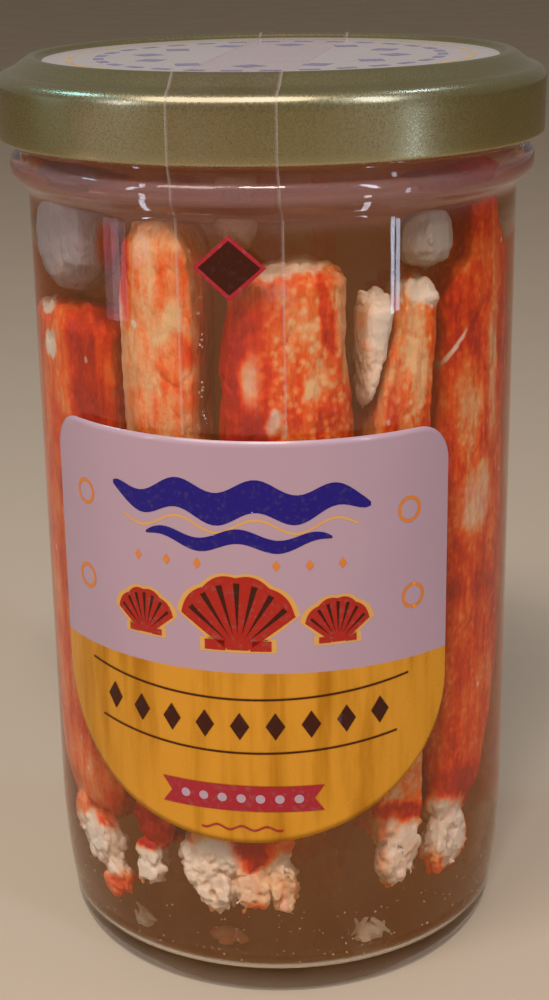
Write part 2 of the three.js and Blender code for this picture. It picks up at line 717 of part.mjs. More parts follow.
// The lengths of leg flesh that are pressed against the front and sides of the glass. A
// patch gives the azimuths of its left and right edges at some heights, from the foot up.
const shownPieces = [
  {
    name: 'leg_meat_front', finish: 'red', seed: 11, crownLength: 2.5, footLength: 5,
    patch: [
      [20, -16, 9], [25, -17.4, 12], [30, -15.4, 16], [37, -11.8, 21], [47, -7.2, 27],
      [70, -7.2, 31], [96, -7.2, 31.6], [100.5, -7, 30.6], [109, -6.4, 28.9],
      [116, -4, 28.9], [120.5, 3, 28],
    ],
    clumps: [
      clump(-12.5, 24.5, 4.4, 6.4), clump(-8, 19.4, 4.6, 4), clump(1.5, 20.2, 4.8, 3.6),
      clump(9.4, 20.4, 3.2, 4.6), clump(-1, 26.5, 4.4, 5.2),
    ],
  },
  {
    name: 'leg_meat_front_right', finish: 'orange', seed: 23, crownLength: 3, footLength: 4,
    patch: [
      [24, 35.4, 46.5], [32, 34.4, 48.2], [60, 33, 49], [92, 33.2, 49], [100.5, 34.4, 49.8],
      [105, 36.4, 50.5], [109, 38.6, 51.2], [113, 39.8, 51.8], [117.2, 43, 53],
    ],
    clumps: [clump(39.5, 22.6, 3.2, 4), clump(43.5, 25, 2.6, 5)],
  },
  {
    name: 'leg_meat_right', finish: 'red', seed: 37, crownLength: 3, footLength: 5,
    patch: [
      [25, 50.4, 67], [33, 50.6, 76], [48, 50.6, 85], [70, 50.4, 88], [92.6, 50.4, 88],
      [102.3, 51.4, 88], [113.5, 53, 87], [117, 56.2, 86], [119, 61, 84], [124, 61.6, 77],
      [130, 62, 74],
    ],
    clumps: [clump(54.6, 21.4, 2.6, 4.6), clump(60.5, 22.6, 4, 5.6)],
  },
  {
    name: 'leg_meat_left', finish: 'red', seed: 41, crownLength: 4, footLength: 7,
    patch: [
      [25, -66, -36.4], [34, -71, -35.4], [48, -76, -34], [75, -77, -32.8],
      [100, -77, -32.6], [112.2, -76, -33],
    ],
    clumps: [clump(-47, 21.4, 6, 4.8), clump(-41, 15.6, 4.2, 3.2), clump(-54, 24.5, 4, 4)],
  },
  {
    name: 'leg_meat_front_left', finish: 'cream', seed: 53, crownLength: 5, footLength: 6,
    patch: [
      [24, -33.2, -20.4], [30, -33, -18.8], [37, -32.4, -14.4], [47, -32, -9.8],
      [70, -31.8, -8.4], [96, -31.8, -8.3], [112, -31.6, -8.2], [121, -30.8, -9],
      [127.5, -28, -13],
    ],
    clumps: [clump(-27.5, 21.8, 3.2, 4.2)],
  },
].map((piece) => ({
  ...piece, radius: WALL_FLESH_RADIUS, halfDepth: WALL_FLESH_DEPTH, footScale: 1, headScale: 1,
  low: piece.patch[0][0], high: piece.patch[piece.patch.length - 1][0],
}));

// A pale torn flake that is wedged between two lengths, near the glass
const flake = {
  name: 'pale_flake', finish: 'white', seed: 59, crownLength: 2.5, footLength: 4,
  radius: 31, halfDepth: 4.6, low: 98.5, high: 115.5, footScale: 1, headScale: 1, inner: true,
  patch: [[98.5, 31.8, 32.4], [104, 31.1, 35.2], [108, 30.4, 37.4], [112, 30.4, 38.8], [115.5, 31, 39.4]],
};

// The lengths of leg flesh round the back of the jar
const backPieces = [
  { name: 'leg_meat_back_right', finish: 'orange', seed: 61, azimuth: 113, high: 124 },
  { name: 'leg_meat_back', finish: 'red', seed: 71, azimuth: 160.5, high: 118 },
  { name: 'leg_meat_back_left', finish: 'cream', seed: 83, azimuth: 208, high: 127 },
  { name: 'leg_meat_rear_left', finish: 'red', seed: 97, azimuth: 255.5, high: 121 },
].map((piece) => {
  const row = (z, scale) => [
    z, piece.azimuth - BACK_HALF_ANGLE * scale, piece.azimuth + BACK_HALF_ANGLE * scale,
  ];
  return {
    ...piece, radius: WALL_FLESH_RADIUS, halfDepth: WALL_FLESH_DEPTH, halfWidth: WALL_FLESH_DEPTH,
    low: BACK_LOW, inner: true, stranded: true, headScale: 1,
    patch: [row(BACK_LOW, BACK_FOOT_SCALE), row(BACK_FOOT_TOP, 1), row(75, 1), row(piece.high, 1)],
  };
});

// The lengths of leg flesh that stand free in the middle of the jar
const middlePieces = [
  {
    name: 'leg_meat_middle_front', finish: 'orange', seed: 101, azimuth: 17, high: 126.5,
    crownLength: 4,
  },
  {
    name: 'leg_meat_middle_right', finish: 'cream', seed: 113, azimuth: 137, high: 122,
    crownLength: 5,
  },
  {
    name: 'leg_meat_middle_left', finish: 'red', seed: 127, azimuth: -103, high: 119,
    crownLength: 5,
  },
].map((piece) => ({
  ...piece, radius: 10.4, halfWidth: 8, halfDepth: 8, low: BACK_LOW, inner: true, stranded: true,
}));

// Broad pale ends that lie over the lengths of flesh, and crumbs on the jar's floor
const lumps = [
  {
    name: 'pale_end_left', finish: 'white', seed: 131, shape: END_LUMP, azimuth: -53,
    radius: 30.4, z: 121.9, halfWidth: 10.4, halfDepth: 8.4, halfHeight: 8.4,
  },
  {
    name: 'pale_end_middle', finish: 'white', seed: 157, shape: CLUMP, azimuth: -2,
    radius: 25.5, z: 125.8, halfWidth: 3.4, halfDepth: 4, halfHeight: 4.2,
  },
  {
    name: 'pale_end_right', finish: 'white', seed: 137, shape: END_LUMP, azimuth: 50.2,
    radius: 31.4, z: 123, halfWidth: 5.4, halfDepth: 6.4, halfHeight: 4.8,
  },
  {
    name: 'crumb_front', finish: 'white', seed: 139, shape: CRUMB, azimuth: 40,
    radius: 24.5, z: 6.5, halfWidth: 2.6, halfDepth: 1.6, halfHeight: 1.6,
  },
  {
    name: 'crumb_left', finish: 'white', seed: 149, shape: CRUMB, azimuth: -42,
    radius: 25.5, z: 6.3, halfWidth: 1.9, halfDepth: 1.5, halfHeight: 1.3,
  },
  {
    name: 'chip_front', finish: 'red', seed: 151, shape: CRUMB, azimuth: -12,
    radius: 22.0, z: 6.4, halfWidth: 2.8, halfDepth: 1.9, halfHeight: 1.3,
  },
];

const jar = new THREE.Group();

function addPiece(name, finish, geometry) {
  const mesh = new THREE.Mesh(geometry, new THREE.MeshStandardMaterial(finishes[finish]));
  mesh.name = name;
  jar.add(mesh);
}

addPiece('glass_jar', 'glass', glassJar());
addPiece('lid_shell', 'gold', lidShell());
addPiece('lid_seal_ring', 'seal', sealRing());
addPiece('label', 'label', label());
addPiece('seal_tape_front', 'tape', jarTape(-1, LABEL_TOP + GAP * 2));
addPiece('seal_tape_back', 'tape', jarTape(1, TAPE_END_BACK));
addPiece('seal_tape_lid', 'tape', lidTape());
[...shownPieces, flake, ...backPieces, ...middlePieces].forEach((piece) => {
  addPiece(piece.name, piece.finish, legFlesh(piece));
});
lumps.forEach((piece) => addPiece(piece.name, piece.finish, lump(piece)));

export default jar;
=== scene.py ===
"""The looks of a glass preserving jar of king crab leg meat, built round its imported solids.

Sizes are in millimetres and turn into metres where a mesh is made. An azimuth is counted
in degrees round the jar's axis, from -Y towards +X, and the label's middle faces -Y.
"""

import sys

import logging
import math
from dataclasses import dataclass, field
from enum import Enum
from functools import partial
from itertools import product
from typing import Any, Callable, Iterable, Protocol, Sequence

import bmesh
import bpy
import numpy as np
from mathutils import Matrix, Vector
from mathutils.geometry import tessellate_polygon


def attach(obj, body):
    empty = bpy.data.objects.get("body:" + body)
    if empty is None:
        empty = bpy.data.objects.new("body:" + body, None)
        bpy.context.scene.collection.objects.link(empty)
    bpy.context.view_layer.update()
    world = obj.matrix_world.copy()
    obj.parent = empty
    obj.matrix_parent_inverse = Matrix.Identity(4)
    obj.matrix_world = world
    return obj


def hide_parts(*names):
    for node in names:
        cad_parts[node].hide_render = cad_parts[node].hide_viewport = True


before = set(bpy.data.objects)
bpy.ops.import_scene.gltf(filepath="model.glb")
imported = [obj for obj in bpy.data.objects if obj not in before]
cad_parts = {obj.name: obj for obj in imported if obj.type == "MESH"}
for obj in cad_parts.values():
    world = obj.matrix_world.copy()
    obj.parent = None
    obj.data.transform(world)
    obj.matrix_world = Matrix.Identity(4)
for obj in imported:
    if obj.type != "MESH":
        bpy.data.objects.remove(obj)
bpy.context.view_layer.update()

log = logging.getLogger("jar")

MM = 0.001
CLEAR = (1.0, 1.0, 1.0)
Point = tuple[float, float]
Triple = tuple[float, float, float]
Profile = list[Point]
Piece = bpy.types.Object
Material = bpy.types.Material
Socket = bpy.types.NodeSocket


class Body(str, Enum):
    """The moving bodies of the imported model."""

    JAR = "jar"
    SEAL_RING = "seal_ring"
    LID = "lid"


class Slot(str, Enum):
    """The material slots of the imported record."""

    GLASS = "jar_glass"
    BRINE = "brine"
    LACQUER = "lid_lacquer"
    LID_PRINT = "lid_print"
    SEAL = "seal_compound"
    LABEL = "label_paper"
    INK = "label_ink"
    FILM = "tape_film"
    RED_FLESH = "meat_red"
    ORANGE_FLESH = "meat_orange"
    CREAM_FLESH = "meat_cream"
    WHITE_FLESH = "meat_white"


# Mesh making


def polar(radius: float, azimuth: float, z: float = 0.0) -> np.ndarray:
    """A point in millimetres at a radius from the axis, in the direction of an azimuth."""
    turn = math.radians(azimuth)
    return np.array([radius * math.sin(turn), -radius * math.cos(turn), z])


def smooth_step(value: np.ndarray, low: float, high: float) -> np.ndarray:
    """Rises smoothly from 0 at low to 1 at high."""
    t = np.clip((value - low) / (high - low), 0.0, 1.0)
    return t * t * (3.0 - 2.0 * t)


class Grain:
    """Seeded gradient noise in three dimensions, worked out for many points at once."""

    TABLE = 256
    GAIN = 1.5
    LAYER_SHIFT = 17.3

    def __init__(self, seed: int) -> None:
        """Draws the noise's own table.

        Args:
            seed: The number that fixes the noise.
        """
        rng = np.random.default_rng(seed)
        self.order = rng.permutation(self.TABLE)
        slopes = rng.normal(size=(self.TABLE, 3))
        self.slopes = slopes / np.linalg.norm(slopes, axis=1, keepdims=True)

    def single(self, points: np.ndarray) -> np.ndarray:
        """One layer of noise, mostly between -0.7 and 0.7.

        Args:
            points: Places as rows of three numbers, one unit to a cell.

        Returns:
            One number for each place.
        """
        cell = np.floor(points).astype(np.int64)
        inside = points - cell
        ease = inside**3 * (inside * (inside * 6.0 - 15.0) + 10.0)
        total = np.zeros(len(points))
        for corner in product((0, 1), repeat=3):
            at = cell + corner
            pick = self.order[at[:, 0] % self.TABLE]
            pick = self.order[(pick + at[:, 1]) % self.TABLE]
            pick = self.order[(pick + at[:, 2]) % self.TABLE]
            share = np.where(np.array(corner) == 1, ease, 1.0 - ease).prod(axis=1)
            total += share * (self.slopes[pick] * (inside - corner)).sum(axis=1)
        return total * self.GAIN

    def layered(self, points: np.ndarray, size: Sequence[float], layers: int = 3) -> np.ndarray:
        """Noise in layers, each half the size and half the strength of the one before.

        Args:
            points: Places in millimetres.
            size: The widths of the largest features along X, Y and Z, in millimetres.
            layers: How many layers are added up.

        Returns:
            One number for each place, mostly between -1 and 1.
        """
        scaled = points / np.asarray(size, dtype=float)
        total = np.zeros(len(points))
        for layer in range(layers):
            total += self.single(scaled * 2.0**layer + self.LAYER_SHIFT * layer) * 0.5**layer
        return total


@dataclass(frozen=True)
class Pattern:
    """One noise pattern: the widths of its largest features, its layers and its shift."""

    size: Triple
    layers: int
    shift: float = 0.0

    def over(self, grain: Grain, points: np.ndarray) -> np.ndarray:
        """The pattern's value at each point, from one source of noise."""
        return grain.layered(points + self.shift, self.size, self.layers)


CELL_TABLE = 4096
CELL_STEPS = np.array([73, 179, 283])
BEYOND_CELLS = 9.0


def cell_distance(points: np.ndarray, size: Sequence[float], seed: int) -> np.ndarray:
    """How far each place is from the middle of the nearest of many uneven cells.

    Args:
        points: Places in millimetres.
        size: The usual widths of a cell along X, Y and Z, in millimetres.
        seed: The number that fixes the cells.

    Returns:
        One number for each place, about 0 in the middle of a cell and 1 at its edge.
    """
    table = np.random.default_rng(seed).random((CELL_TABLE, 3))
    scaled = points / np.asarray(size, dtype=float)
    home = np.floor(scaled).astype(np.int64)
    nearest = np.full(len(points), BEYOND_CELLS)
    for step in product((-1, 0, 1), repeat=3):
        cell = home + step
        middle = cell + table[(cell @ CELL_STEPS) % CELL_TABLE]
        nearest = np.minimum(nearest, np.linalg.norm(scaled - middle, axis=1))
    return nearest


def new_piece(name: str, vertices: np.ndarray, faces: Iterable[Sequence[int]]) -> Piece:
    """Makes a smooth-shaded object from points in millimetres.

    Args:
        name: The piece's name.
        vertices: Its points, as rows of three numbers.
        faces: Its faces, as rows of point numbers.

    Returns:
        The new object, linked to the scene.
    """
    mesh = bpy.data.meshes.new(name)
    mesh.from_pydata((np.asarray(vertices) * MM).tolist(), [], [list(map(int, f)) for f in faces])
    mesh.update()
    mesh.polygons.foreach_set("use_smooth", [True] * len(mesh.polygons))
    piece = bpy.data.objects.new(name, mesh)
    bpy.context.scene.collection.objects.link(piece)
    return piece


def settle(
    piece: Piece, body: Body, slot: Slot, material: Material, *nodes: str
) -> Piece:
    """Gives a piece its body and its material, and hides the CAD nodes that it stands for.

    Args:
        piece: The piece.
        body: The body it moves with.
        slot: The record's slot that it takes its finish from; not used.
        material: Its material.
        *nodes: The CAD nodes that it replaces.

    Returns:
        The same piece.
    """
    piece.data.materials.clear()
    piece.data.materials.append(material)
    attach(piece, body.value)
    if nodes:
        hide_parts(*nodes)
    log.info("%s: %d faces on body %s", piece.name, len(piece.data.polygons), body.value)
    return piece


@dataclass(frozen=True)
class Corner:
    """A corner of a profile, and how far from it its rounding begins."""

    radius: float
    z: float
    ease: float = 0.0


def rounded(corners: Sequence[Corner], steps: int = 6, longest: float = 4.0) -> Profile:
    """A profile with its corners eased into curves and its long runs split.

    Args:
        corners: The corners in order.
        steps: How many steps each eased corner takes.
        longest: The longest step along a straight run, in millimetres.

    Returns:
        The points of the profile.
    """
    places = [np.array([c.radius, c.z]) for c in corners]
    points: list[np.ndarray] = [places[0]]
    for before, corner, place, after in zip(places, corners[1:-1], places[1:], places[2:]):
        back, ahead = before - place, after - place
        ease = min(corner.ease, 0.49 * np.linalg.norm(back), 0.49 * np.linalg.norm(ahead))
        if ease <= 0.0:
            points.append(place)
            continue
        start = place + back / np.linalg.norm(back) * ease
        end = place + ahead / np.linalg.norm(ahead) * ease
        for i in range(steps + 1):
            t = i / steps
            points.append(start * (1 - t) ** 2 + place * 2 * t * (1 - t) + end * t**2)
    points.append(places[-1])
    profile: Profile = [tuple(points[0])]
    for p, q in zip(points, points[1:]):
        count = max(1, math.ceil(float(np.linalg.norm(q - p)) / longest))
        profile += [tuple(p + (q - p) * (k + 1) / count) for k in range(count)]
    return profile


def turned(
    name: str,
    profile: Profile,
    sides: int = 192,
    shape: Callable[[np.ndarray, np.ndarray, np.ndarray], np.ndarray] | None = None,
    closed: bool = False,
) -> Piece:
    """Turns a profile about +Z into a body whose faces point out.

    Args:
        name: The piece's name.
        profile: Points of radius and height; the outside is passed upwards.
        sides: How many sides the turned body has.
        shape: Gives the radius from azimuth in radians, radius and height, all as grids.
        closed: Whether the profile's last point joins its first; else both are on the axis.

    Returns:
        The new object.
    """
    line = np.array(profile)
    turn = np.linspace(0.0, 2.0 * math.pi, sides, endpoint=False)
    rings = line if closed else line[1:-1]
    radius = np.repeat(rings[:, :1], sides, axis=1)
    height = np.repeat(rings[:, 1:], sides, axis=1)
    angle = np.repeat(turn[None, :], len(rings), axis=0)
    if shape is not None:
        radius = shape(angle, radius, height)
    grid = np.stack([radius * np.sin(angle), -radius * np.cos(angle), height], axis=-1)
    vertices = [grid.reshape(-1, 3)]
    rows = len(rings)
    faces: list[list[int]] = []
    for i in range(rows if closed else rows - 1):
        low, high = i * sides, ((i + 1) % rows) * sides
        for j in range(sides):
            k = (j + 1) % sides
            faces.append([low + j, low + k, high + k, high + j])
    if not closed:
        first, last = rows * sides, rows * sides + 1
        vertices.append(np.array([[0.0, 0.0, line[0, 1]], [0.0, 0.0, line[-1, 1]]]))
        top = (rows - 1) * sides
        for j in range(sides):
            k = (j + 1) % sides
            faces.append([first, k, j])
            faces.append([last, top + j, top + k])
    return new_piece(name, np.concatenate(vertices), faces)


def curved_sheet(name: str, outer: np.ndarray, inner: np.ndarray) -> Piece:
    """A thin closed sheet between two faces.

    Args:
        name: The piece's name.
        outer: The points of the face seen from outside, as rows by columns by 3; rows run
            upwards and columns to the right of someone who looks at it.
        inner: The points of the face behind it, in the same order.

    Returns:
        The new object.
    """
    rows, columns = outer.shape[:2]
    vertices = np.concatenate([outer.reshape(-1, 3), inner.reshape(-1, 3)])
    back = rows * columns
    faces: list[list[int]] = []
    for i, j in product(range(rows - 1), range(columns - 1)):
        a, b = i * columns + j, (i + 1) * columns + j
        faces.append([a, a + 1, b + 1, b])
        faces.append([back + a, back + b, back + b + 1, back + a + 1])
    edge = list(range(columns - 1))
    edge += [i * columns + columns - 1 for i in range(rows - 1)]
    edge += [(rows - 1) * columns + j for j in range(columns - 1, 0, -1)]
    edge += [i * columns for i in range(rows - 1, 0, -1)]
    for a, b in zip(edge, edge[1:] + edge[:1]):
        faces.append([a, back + a, back + b, b])
    return new_piece(name, vertices, faces)


class UnitBall:
    """The points and faces of a ball of radius 1, cut into triangles."""

    def __init__(self, splits: int) -> None:
        """Makes the ball.

        Args:
            splits: How many times each face of the first solid is split.
        """
        mesh = bmesh.new()
        bmesh.ops.create_icosphere(mesh, subdivisions=splits, radius=1.0)
        mesh.verts.index_update()
        self.points = np.array([list(v.co) for v in mesh.verts])
        self.faces = [[v.index for v in face.verts] for face in mesh.faces]
        mesh.free()


ROUND_BALL = UnitBall(2)
SMOOTHING = 0.5


def keep_largest_shell(mesh: bpy.types.Mesh) -> None:
    """Deletes the loose scraps of a mesh, so that one connected shell is left.

    Args:
        mesh: The mesh, which is changed.
    """
    flat = np.empty(len(mesh.edges) * 2, dtype=np.int64)
    mesh.edges.foreach_get("vertices", flat)
    first, second = flat.reshape(-1, 2).T
    label = np.arange(len(mesh.vertices))
    while True:
        lower = np.minimum(label[first], label[second])
        joined = label.copy()
        np.minimum.at(joined, label[first], lower)
        np.minimum.at(joined, label[second], lower)
        joined = joined[joined]
        if np.array_equal(joined, label):
            break
        label = joined
    kept = np.bincount(label).argmax()
    solid = bmesh.new()
    solid.from_mesh(mesh)
    scraps = [vertex for vertex, own in zip(solid.verts, label) if own != kept]
    bmesh.ops.delete(solid, geom=scraps, context="VERTS")
    solid.to_mesh(mesh)
    solid.free()


def fused(name: str, piece: Piece, voxel: float, passes: int) -> Piece:
    """Fuses the overlapping bodies of a piece into one even skin, and smooths it.

    Args:
        name: The fused piece's name.
        piece: The piece to fuse, which is removed.
        voxel: The size of the skin's cells, in millimetres.
        passes: How many times the skin is smoothed.

    Returns:
        The new object.
    """
    remesh = piece.modifiers.new("fuse", "REMESH")
    remesh.mode = "VOXEL"
    remesh.voxel_size = voxel * MM
    soften = piece.modifiers.new("soften", "SMOOTH")
    soften.factor = SMOOTHING
    soften.iterations = passes
    graph = bpy.context.evaluated_depsgraph_get()
    mesh = bpy.data.meshes.new_from_object(piece.evaluated_get(graph))
    mesh.name = name
    keep_largest_shell(mesh)
    old = piece.data
    bpy.data.objects.remove(piece)
    bpy.data.meshes.remove(old)
    mesh.polygons.foreach_set("use_smooth", [True] * len(mesh.polygons))
    made = bpy.data.objects.new(name, mesh)
    bpy.context.scene.collection.objects.link(made)
    return made


def points_of(piece: Piece) -> np.ndarray:
    """The points of a piece's mesh, in millimetres.

    Args:
        piece: The piece.

    Returns:
        The points, as rows of three numbers.
    """
    flat = np.empty(len(piece.data.vertices) * 3)
    piece.data.vertices.foreach_get("co", flat)
    return flat.reshape(-1, 3) / MM


def normals_of(piece: Piece) -> np.ndarray:
    """The directions in which the points of a piece's mesh face.

    Args:
        piece: The piece.

    Returns:
        The directions, as rows of three numbers.
    """
    flat = np.empty(len(piece.data.vertices) * 3)
    piece.data.vertex_normals.foreach_get("vector", flat)
    return flat.reshape(-1, 3)


def put_points(piece: Piece, points: np.ndarray) -> None:
    """Moves the points of a piece's mesh to places in millimetres."""
    piece.data.vertices.foreach_set("co", (points * MM).ravel())
    piece.data.update()


def paint(piece: Piece, name: str, values: np.ndarray) -> None:
    """Keeps a number for each point of a piece, for its material to read by name."""
    layer = piece.data.attributes.new(name, "FLOAT", "POINT")
    layer.data.foreach_set("value", values.astype(np.float32))


# Materials


def opaque(colour: Sequence[float]) -> tuple[float, ...]:
    """A colour with a full alpha, as a node takes it."""
    return (*colour, 1.0)


class Finish:
    """A material under way, with calls that add its nodes."""

    def __init__(self, name: str) -> None:
        """Starts an empty material.

        Args:
            name: The material's name.
        """
        self.material = bpy.data.materials.new(name)
        self.material.use_nodes = True
        self.tree = self.material.node_tree
        self.tree.nodes.clear()

    def add(
        self, kind: str, inputs: dict[str | int, Any] | None = None, **settings: Any
    ) -> bpy.types.Node:
        """Adds a node.

        Args:
            kind: The node's type, without the word ShaderNode.
            inputs: Its inputs by name or number, as values or as outputs to link.
            **settings: Its other settings.

        Returns:
            The new node.
        """
        node = self.tree.nodes.new("ShaderNode" + kind)
        for name, value in settings.items():
            setattr(node, name, value)
        for key, value in (inputs or {}).items():
            if isinstance(value, Socket):
                self.tree.links.new(value, node.inputs[key])
            else:
                node.inputs[key].default_value = value
        return node

    def place(self, stretch: Sequence[float] = (1.0, 1.0, 1.0)) -> Socket:
        """The object's own coordinates in metres, stretched along the axes."""
        source = self.add("TexCoord").outputs["Object"]
        return self.add("Mapping", {"Vector": source, "Scale": stretch}).outputs[0]

    def noise(
        self,
        size: float,
        stretch: Sequence[float] = (1.0, 1.0, 1.0),
        detail: float = 3.0,
        roughness: float = 0.55,
        distortion: float = 0.0,
    ) -> Socket:
        """Noise between 0 and 1.

        Args:
            size: The width of its largest features, in millimetres.
            stretch: How many times closer the features lie along X, Y and Z.
            detail: How many finer layers it has.
            roughness: How strong the finer layers are.
            distortion: How far its shapes are drawn out.

        Returns:
            The noise's output.
        """
        inputs = {
            "Vector": self.place(stretch),
            "Scale": 1.0 / (size * MM),
            "Detail": detail,
            "Roughness": roughness,
            "Distortion": distortion,
        }
        return self.add("TexNoise", inputs).outputs[0]

    def sum(self, operation: str, first: Any, second: Any = 0.0, third: Any = 0.0) -> Socket:
        """One step of arithmetic, named as Blender's Math node names it."""
        return self.add("Math", {0: first, 1: second, 2: third}, operation=operation).outputs[0]

    def span(
        self, value: Any, low: float, high: float, start: float = 0.0, end: float = 1.0
    ) -> Socket:
        """Carries a value smoothly from between low and high to between start and end."""
        inputs = {0: value, 1: low, 2: high, 3: start, 4: end}
        return self.add("MapRange", inputs, interpolation_type="SMOOTHSTEP").outputs[0]

    def mix(self, share: Any, first: Any, second: Any, how: str = "MIX") -> Socket:
        """A mix of two colours."""
        inputs = {0: share, 6: first, 7: second}
        return self.add("Mix", inputs, data_type="RGBA", blend_type=how).outputs[2]

    def ramp(self, value: Any, stops: Sequence[tuple[float, Sequence[float]]]) -> Socket:
        """The colour that a value picks from a row of colours.

        Args:
            value: The value, between 0 and 1.
            stops: The colours, each with the value that it stands at.

        Returns:
            The colour.
        """
        node = self.add("ValToRGB", {0: value})
        row = node.color_ramp.elements
        while len(row) < len(stops):
            row.new(0.5)
        for element, (at, colour) in zip(row, stops):
            element.position = at
            element.color = opaque(colour)
        return node.outputs[0]

    def mark(self, name: str) -> Socket:
        """What paint kept for each point under that name."""
        return self.add("Attribute", attribute_name=name).outputs["Fac"]

    def bump(
        self, height: Any, depth: float, strength: float = 1.0, under: Any = None
    ) -> Socket:
        """A bumped normal.

        Args:
            height: The height between 0 and 1.
            depth: The depth in millimetres.
            strength: How much of it shows.
            under: A normal that this one is laid over.

        Returns:
            The normal's output.
        """
        inputs = {"Height": height, "Distance": depth * MM, "Strength": strength}
        if under is not None:
            inputs["Normal"] = under
        return self.add("Bump", inputs).outputs[0]

    def principled(self, inputs: dict[str | int, Any]) -> Socket:
        """A Principled shader."""
        return self.add("BsdfPrincipled", inputs).outputs[0]

    def coated(self, inputs: dict[str | int, Any]) -> Material:
        """The finished material of one Principled shader."""
        return self.done(self.principled(inputs))

    def let_light_through(self, shader: Any, tint: Sequence[float]) -> Socket:
        """Lets lamps and light from matt surfaces pass a shader that bends light.

        Args:
            shader: The clear shader.
            tint: The share of each colour that passes.

        Returns:
            The joined shader.
        """
        clear = self.add("BsdfTransparent", {"Color": opaque(tint)}).outputs[0]
        path = self.add("LightPath")
        for ray in ("Is Shadow Ray", "Is Diffuse Ray"):
            shader = self.add("MixShader", {0: path.outputs[ray], 1: shader, 2: clear}).outputs[0]
        return shader

    def done(self, surface: Any = None, volume: Any = None) -> Material:
        """Joins the shaders to the material's output.

        Args:
            surface: The surface's shader, if it has one.
            volume: The inside's shader, if it has one.

        Returns:
            The finished material.
        """
        inputs = {}
        if surface is not None:
            inputs["Surface"] = surface
        if volume is not None:
            inputs["Volume"] = volume
        self.add("OutputMaterial", inputs)
        return self.material


@dataclass(frozen=True)
class ClearGlass:
    """Pressed soda glass: clear, with a green tint that drifts very slightly."""

    tint: Triple = (0.97, 0.985, 0.975)
    thick: Triple = (0.955, 0.98, 0.965)
    ior: float = 1.5
    # The next three fields paint a reflection: a matt brown mixed into the glass towards the foot, standing
    # in for the floor seen in the thick heel and lightening its shade.
    foot: Triple = (0.50, 0.40, 0.34)
    painted_foot_top: float = 7.0
    foot_share: float = 0.28
    # The next three fields paint a mauve reflection on the glass near the bead under the lid.
    neck_reflection: Triple = (0.66, 0.42, 0.44)
    neck_reflection_span: Point = (124.0, 131.0)
    neck_reflection_share: float = 0.16

    def material(self) -> Material:
        """Makes the material, with a painted brown reflection mixed in at the foot and a painted mauve
        reflection near the bead.

        Returns:
            The material.
        """
        f = Finish("jar_glass_clear")
        drift = f.noise(30.0, detail=0.0)
        inputs = {
            "Base Color": f.mix(drift, opaque(self.tint), opaque(self.thick)),
            "Roughness": 0.0,
            "IOR": self.ior,
            "Transmission Weight": 1.0,
        }
        clear = f.principled(inputs)
        # A matt brown painted reflection for the foot.
        painted_foot_reflection = f.principled({"Base Color": opaque(self.foot), "Roughness": 0.2})
        height = f.add("SeparateXYZ", {0: f.place()}).outputs["Z"]
        share = f.span(height, self.painted_foot_top * MM, 0.5 * MM, 0.0, self.foot_share)
        mixed = f.add("MixShader", {0: share, 1: clear, 2: painted_foot_reflection}).outputs[0]
        # A mauve painted reflection mixed in near the bead.
        rosy = f.principled({"Base Color": opaque(self.neck_reflection), "Roughness": 0.2})
        low, high = self.neck_reflection_span
        share = f.span(height, low * MM, high * MM, 0.0, self.neck_reflection_share)
        mixed = f.add("MixShader", {0: share, 1: mixed, 2: rosy}).outputs[0]
        return f.done(f.let_light_through(mixed, self.tint))


@dataclass(frozen=True)
class MurkyBrine:
    """Brown-grey brine, cloudy with fine particles, that hides what lies deep in it, and lit from within by
    a painted glow.
    """

    colour: Triple = (0.55, 0.42, 0.30)
    density: float = 80.0
    haze: Triple = (0.90, 0.60, 0.42)
    haze_density: float = 1.3
    # The glow is painted light: an emission that stands in for light scattered in the brine.
    glow: Triple = (1.0, 0.38, 0.17)
    painted_glow_strength: float = 4.4
    ior: float = 1.34

    def material(self) -> Material:
        """Makes the material.

        Returns:
            The material.
        """
        f = Finish("brine_murky")
        clear = f.principled(
            {
                "Base Color": opaque(CLEAR),
                "Roughness": 0.0,
                "IOR": self.ior,
                "Transmission Weight": 1.0,
            }
        )
        absorb = f.add("VolumeAbsorption", {"Color": opaque(self.colour), "Density": self.density})
        haze = f.add("VolumeScatter", {"Color": opaque(self.haze), "Density": self.haze_density})
        cloud = f.add("AddShader", {0: absorb.outputs[0], 1: haze.outputs[0]})
        # Painted light: an emission that makes the brine glow though it is no lamp.
        glow = f.add("Emission", {"Color": opaque(self.glow), "Strength": self.painted_glow_strength})
        volume = f.add("AddShader", {0: cloud.outputs[0], 1: glow.outputs[0]}).outputs[0]
        return f.done(f.let_light_through(clear, CLEAR), volume)


@dataclass(frozen=True)
class AirBubble:
    """A small bright bubble in the brine."""

    colour: Triple = (0.95, 0.93, 0.90)
    shade: Triple = (0.85, 0.80, 0.76)

    def material(self) -> Material:
        """Makes the material.

        Returns:
            The material.
        """
        f = Finish("air_bubble")
        film = f.noise(0.4, detail=1.0)
        inputs = {
            "Base Color": f.mix(film, opaque(self.colour), opaque(self.shade)),
            "Roughness": 0.05,
            "IOR": 1.33,
            "Transmission Weight": 0.8,
        }
        return f.coated(inputs)


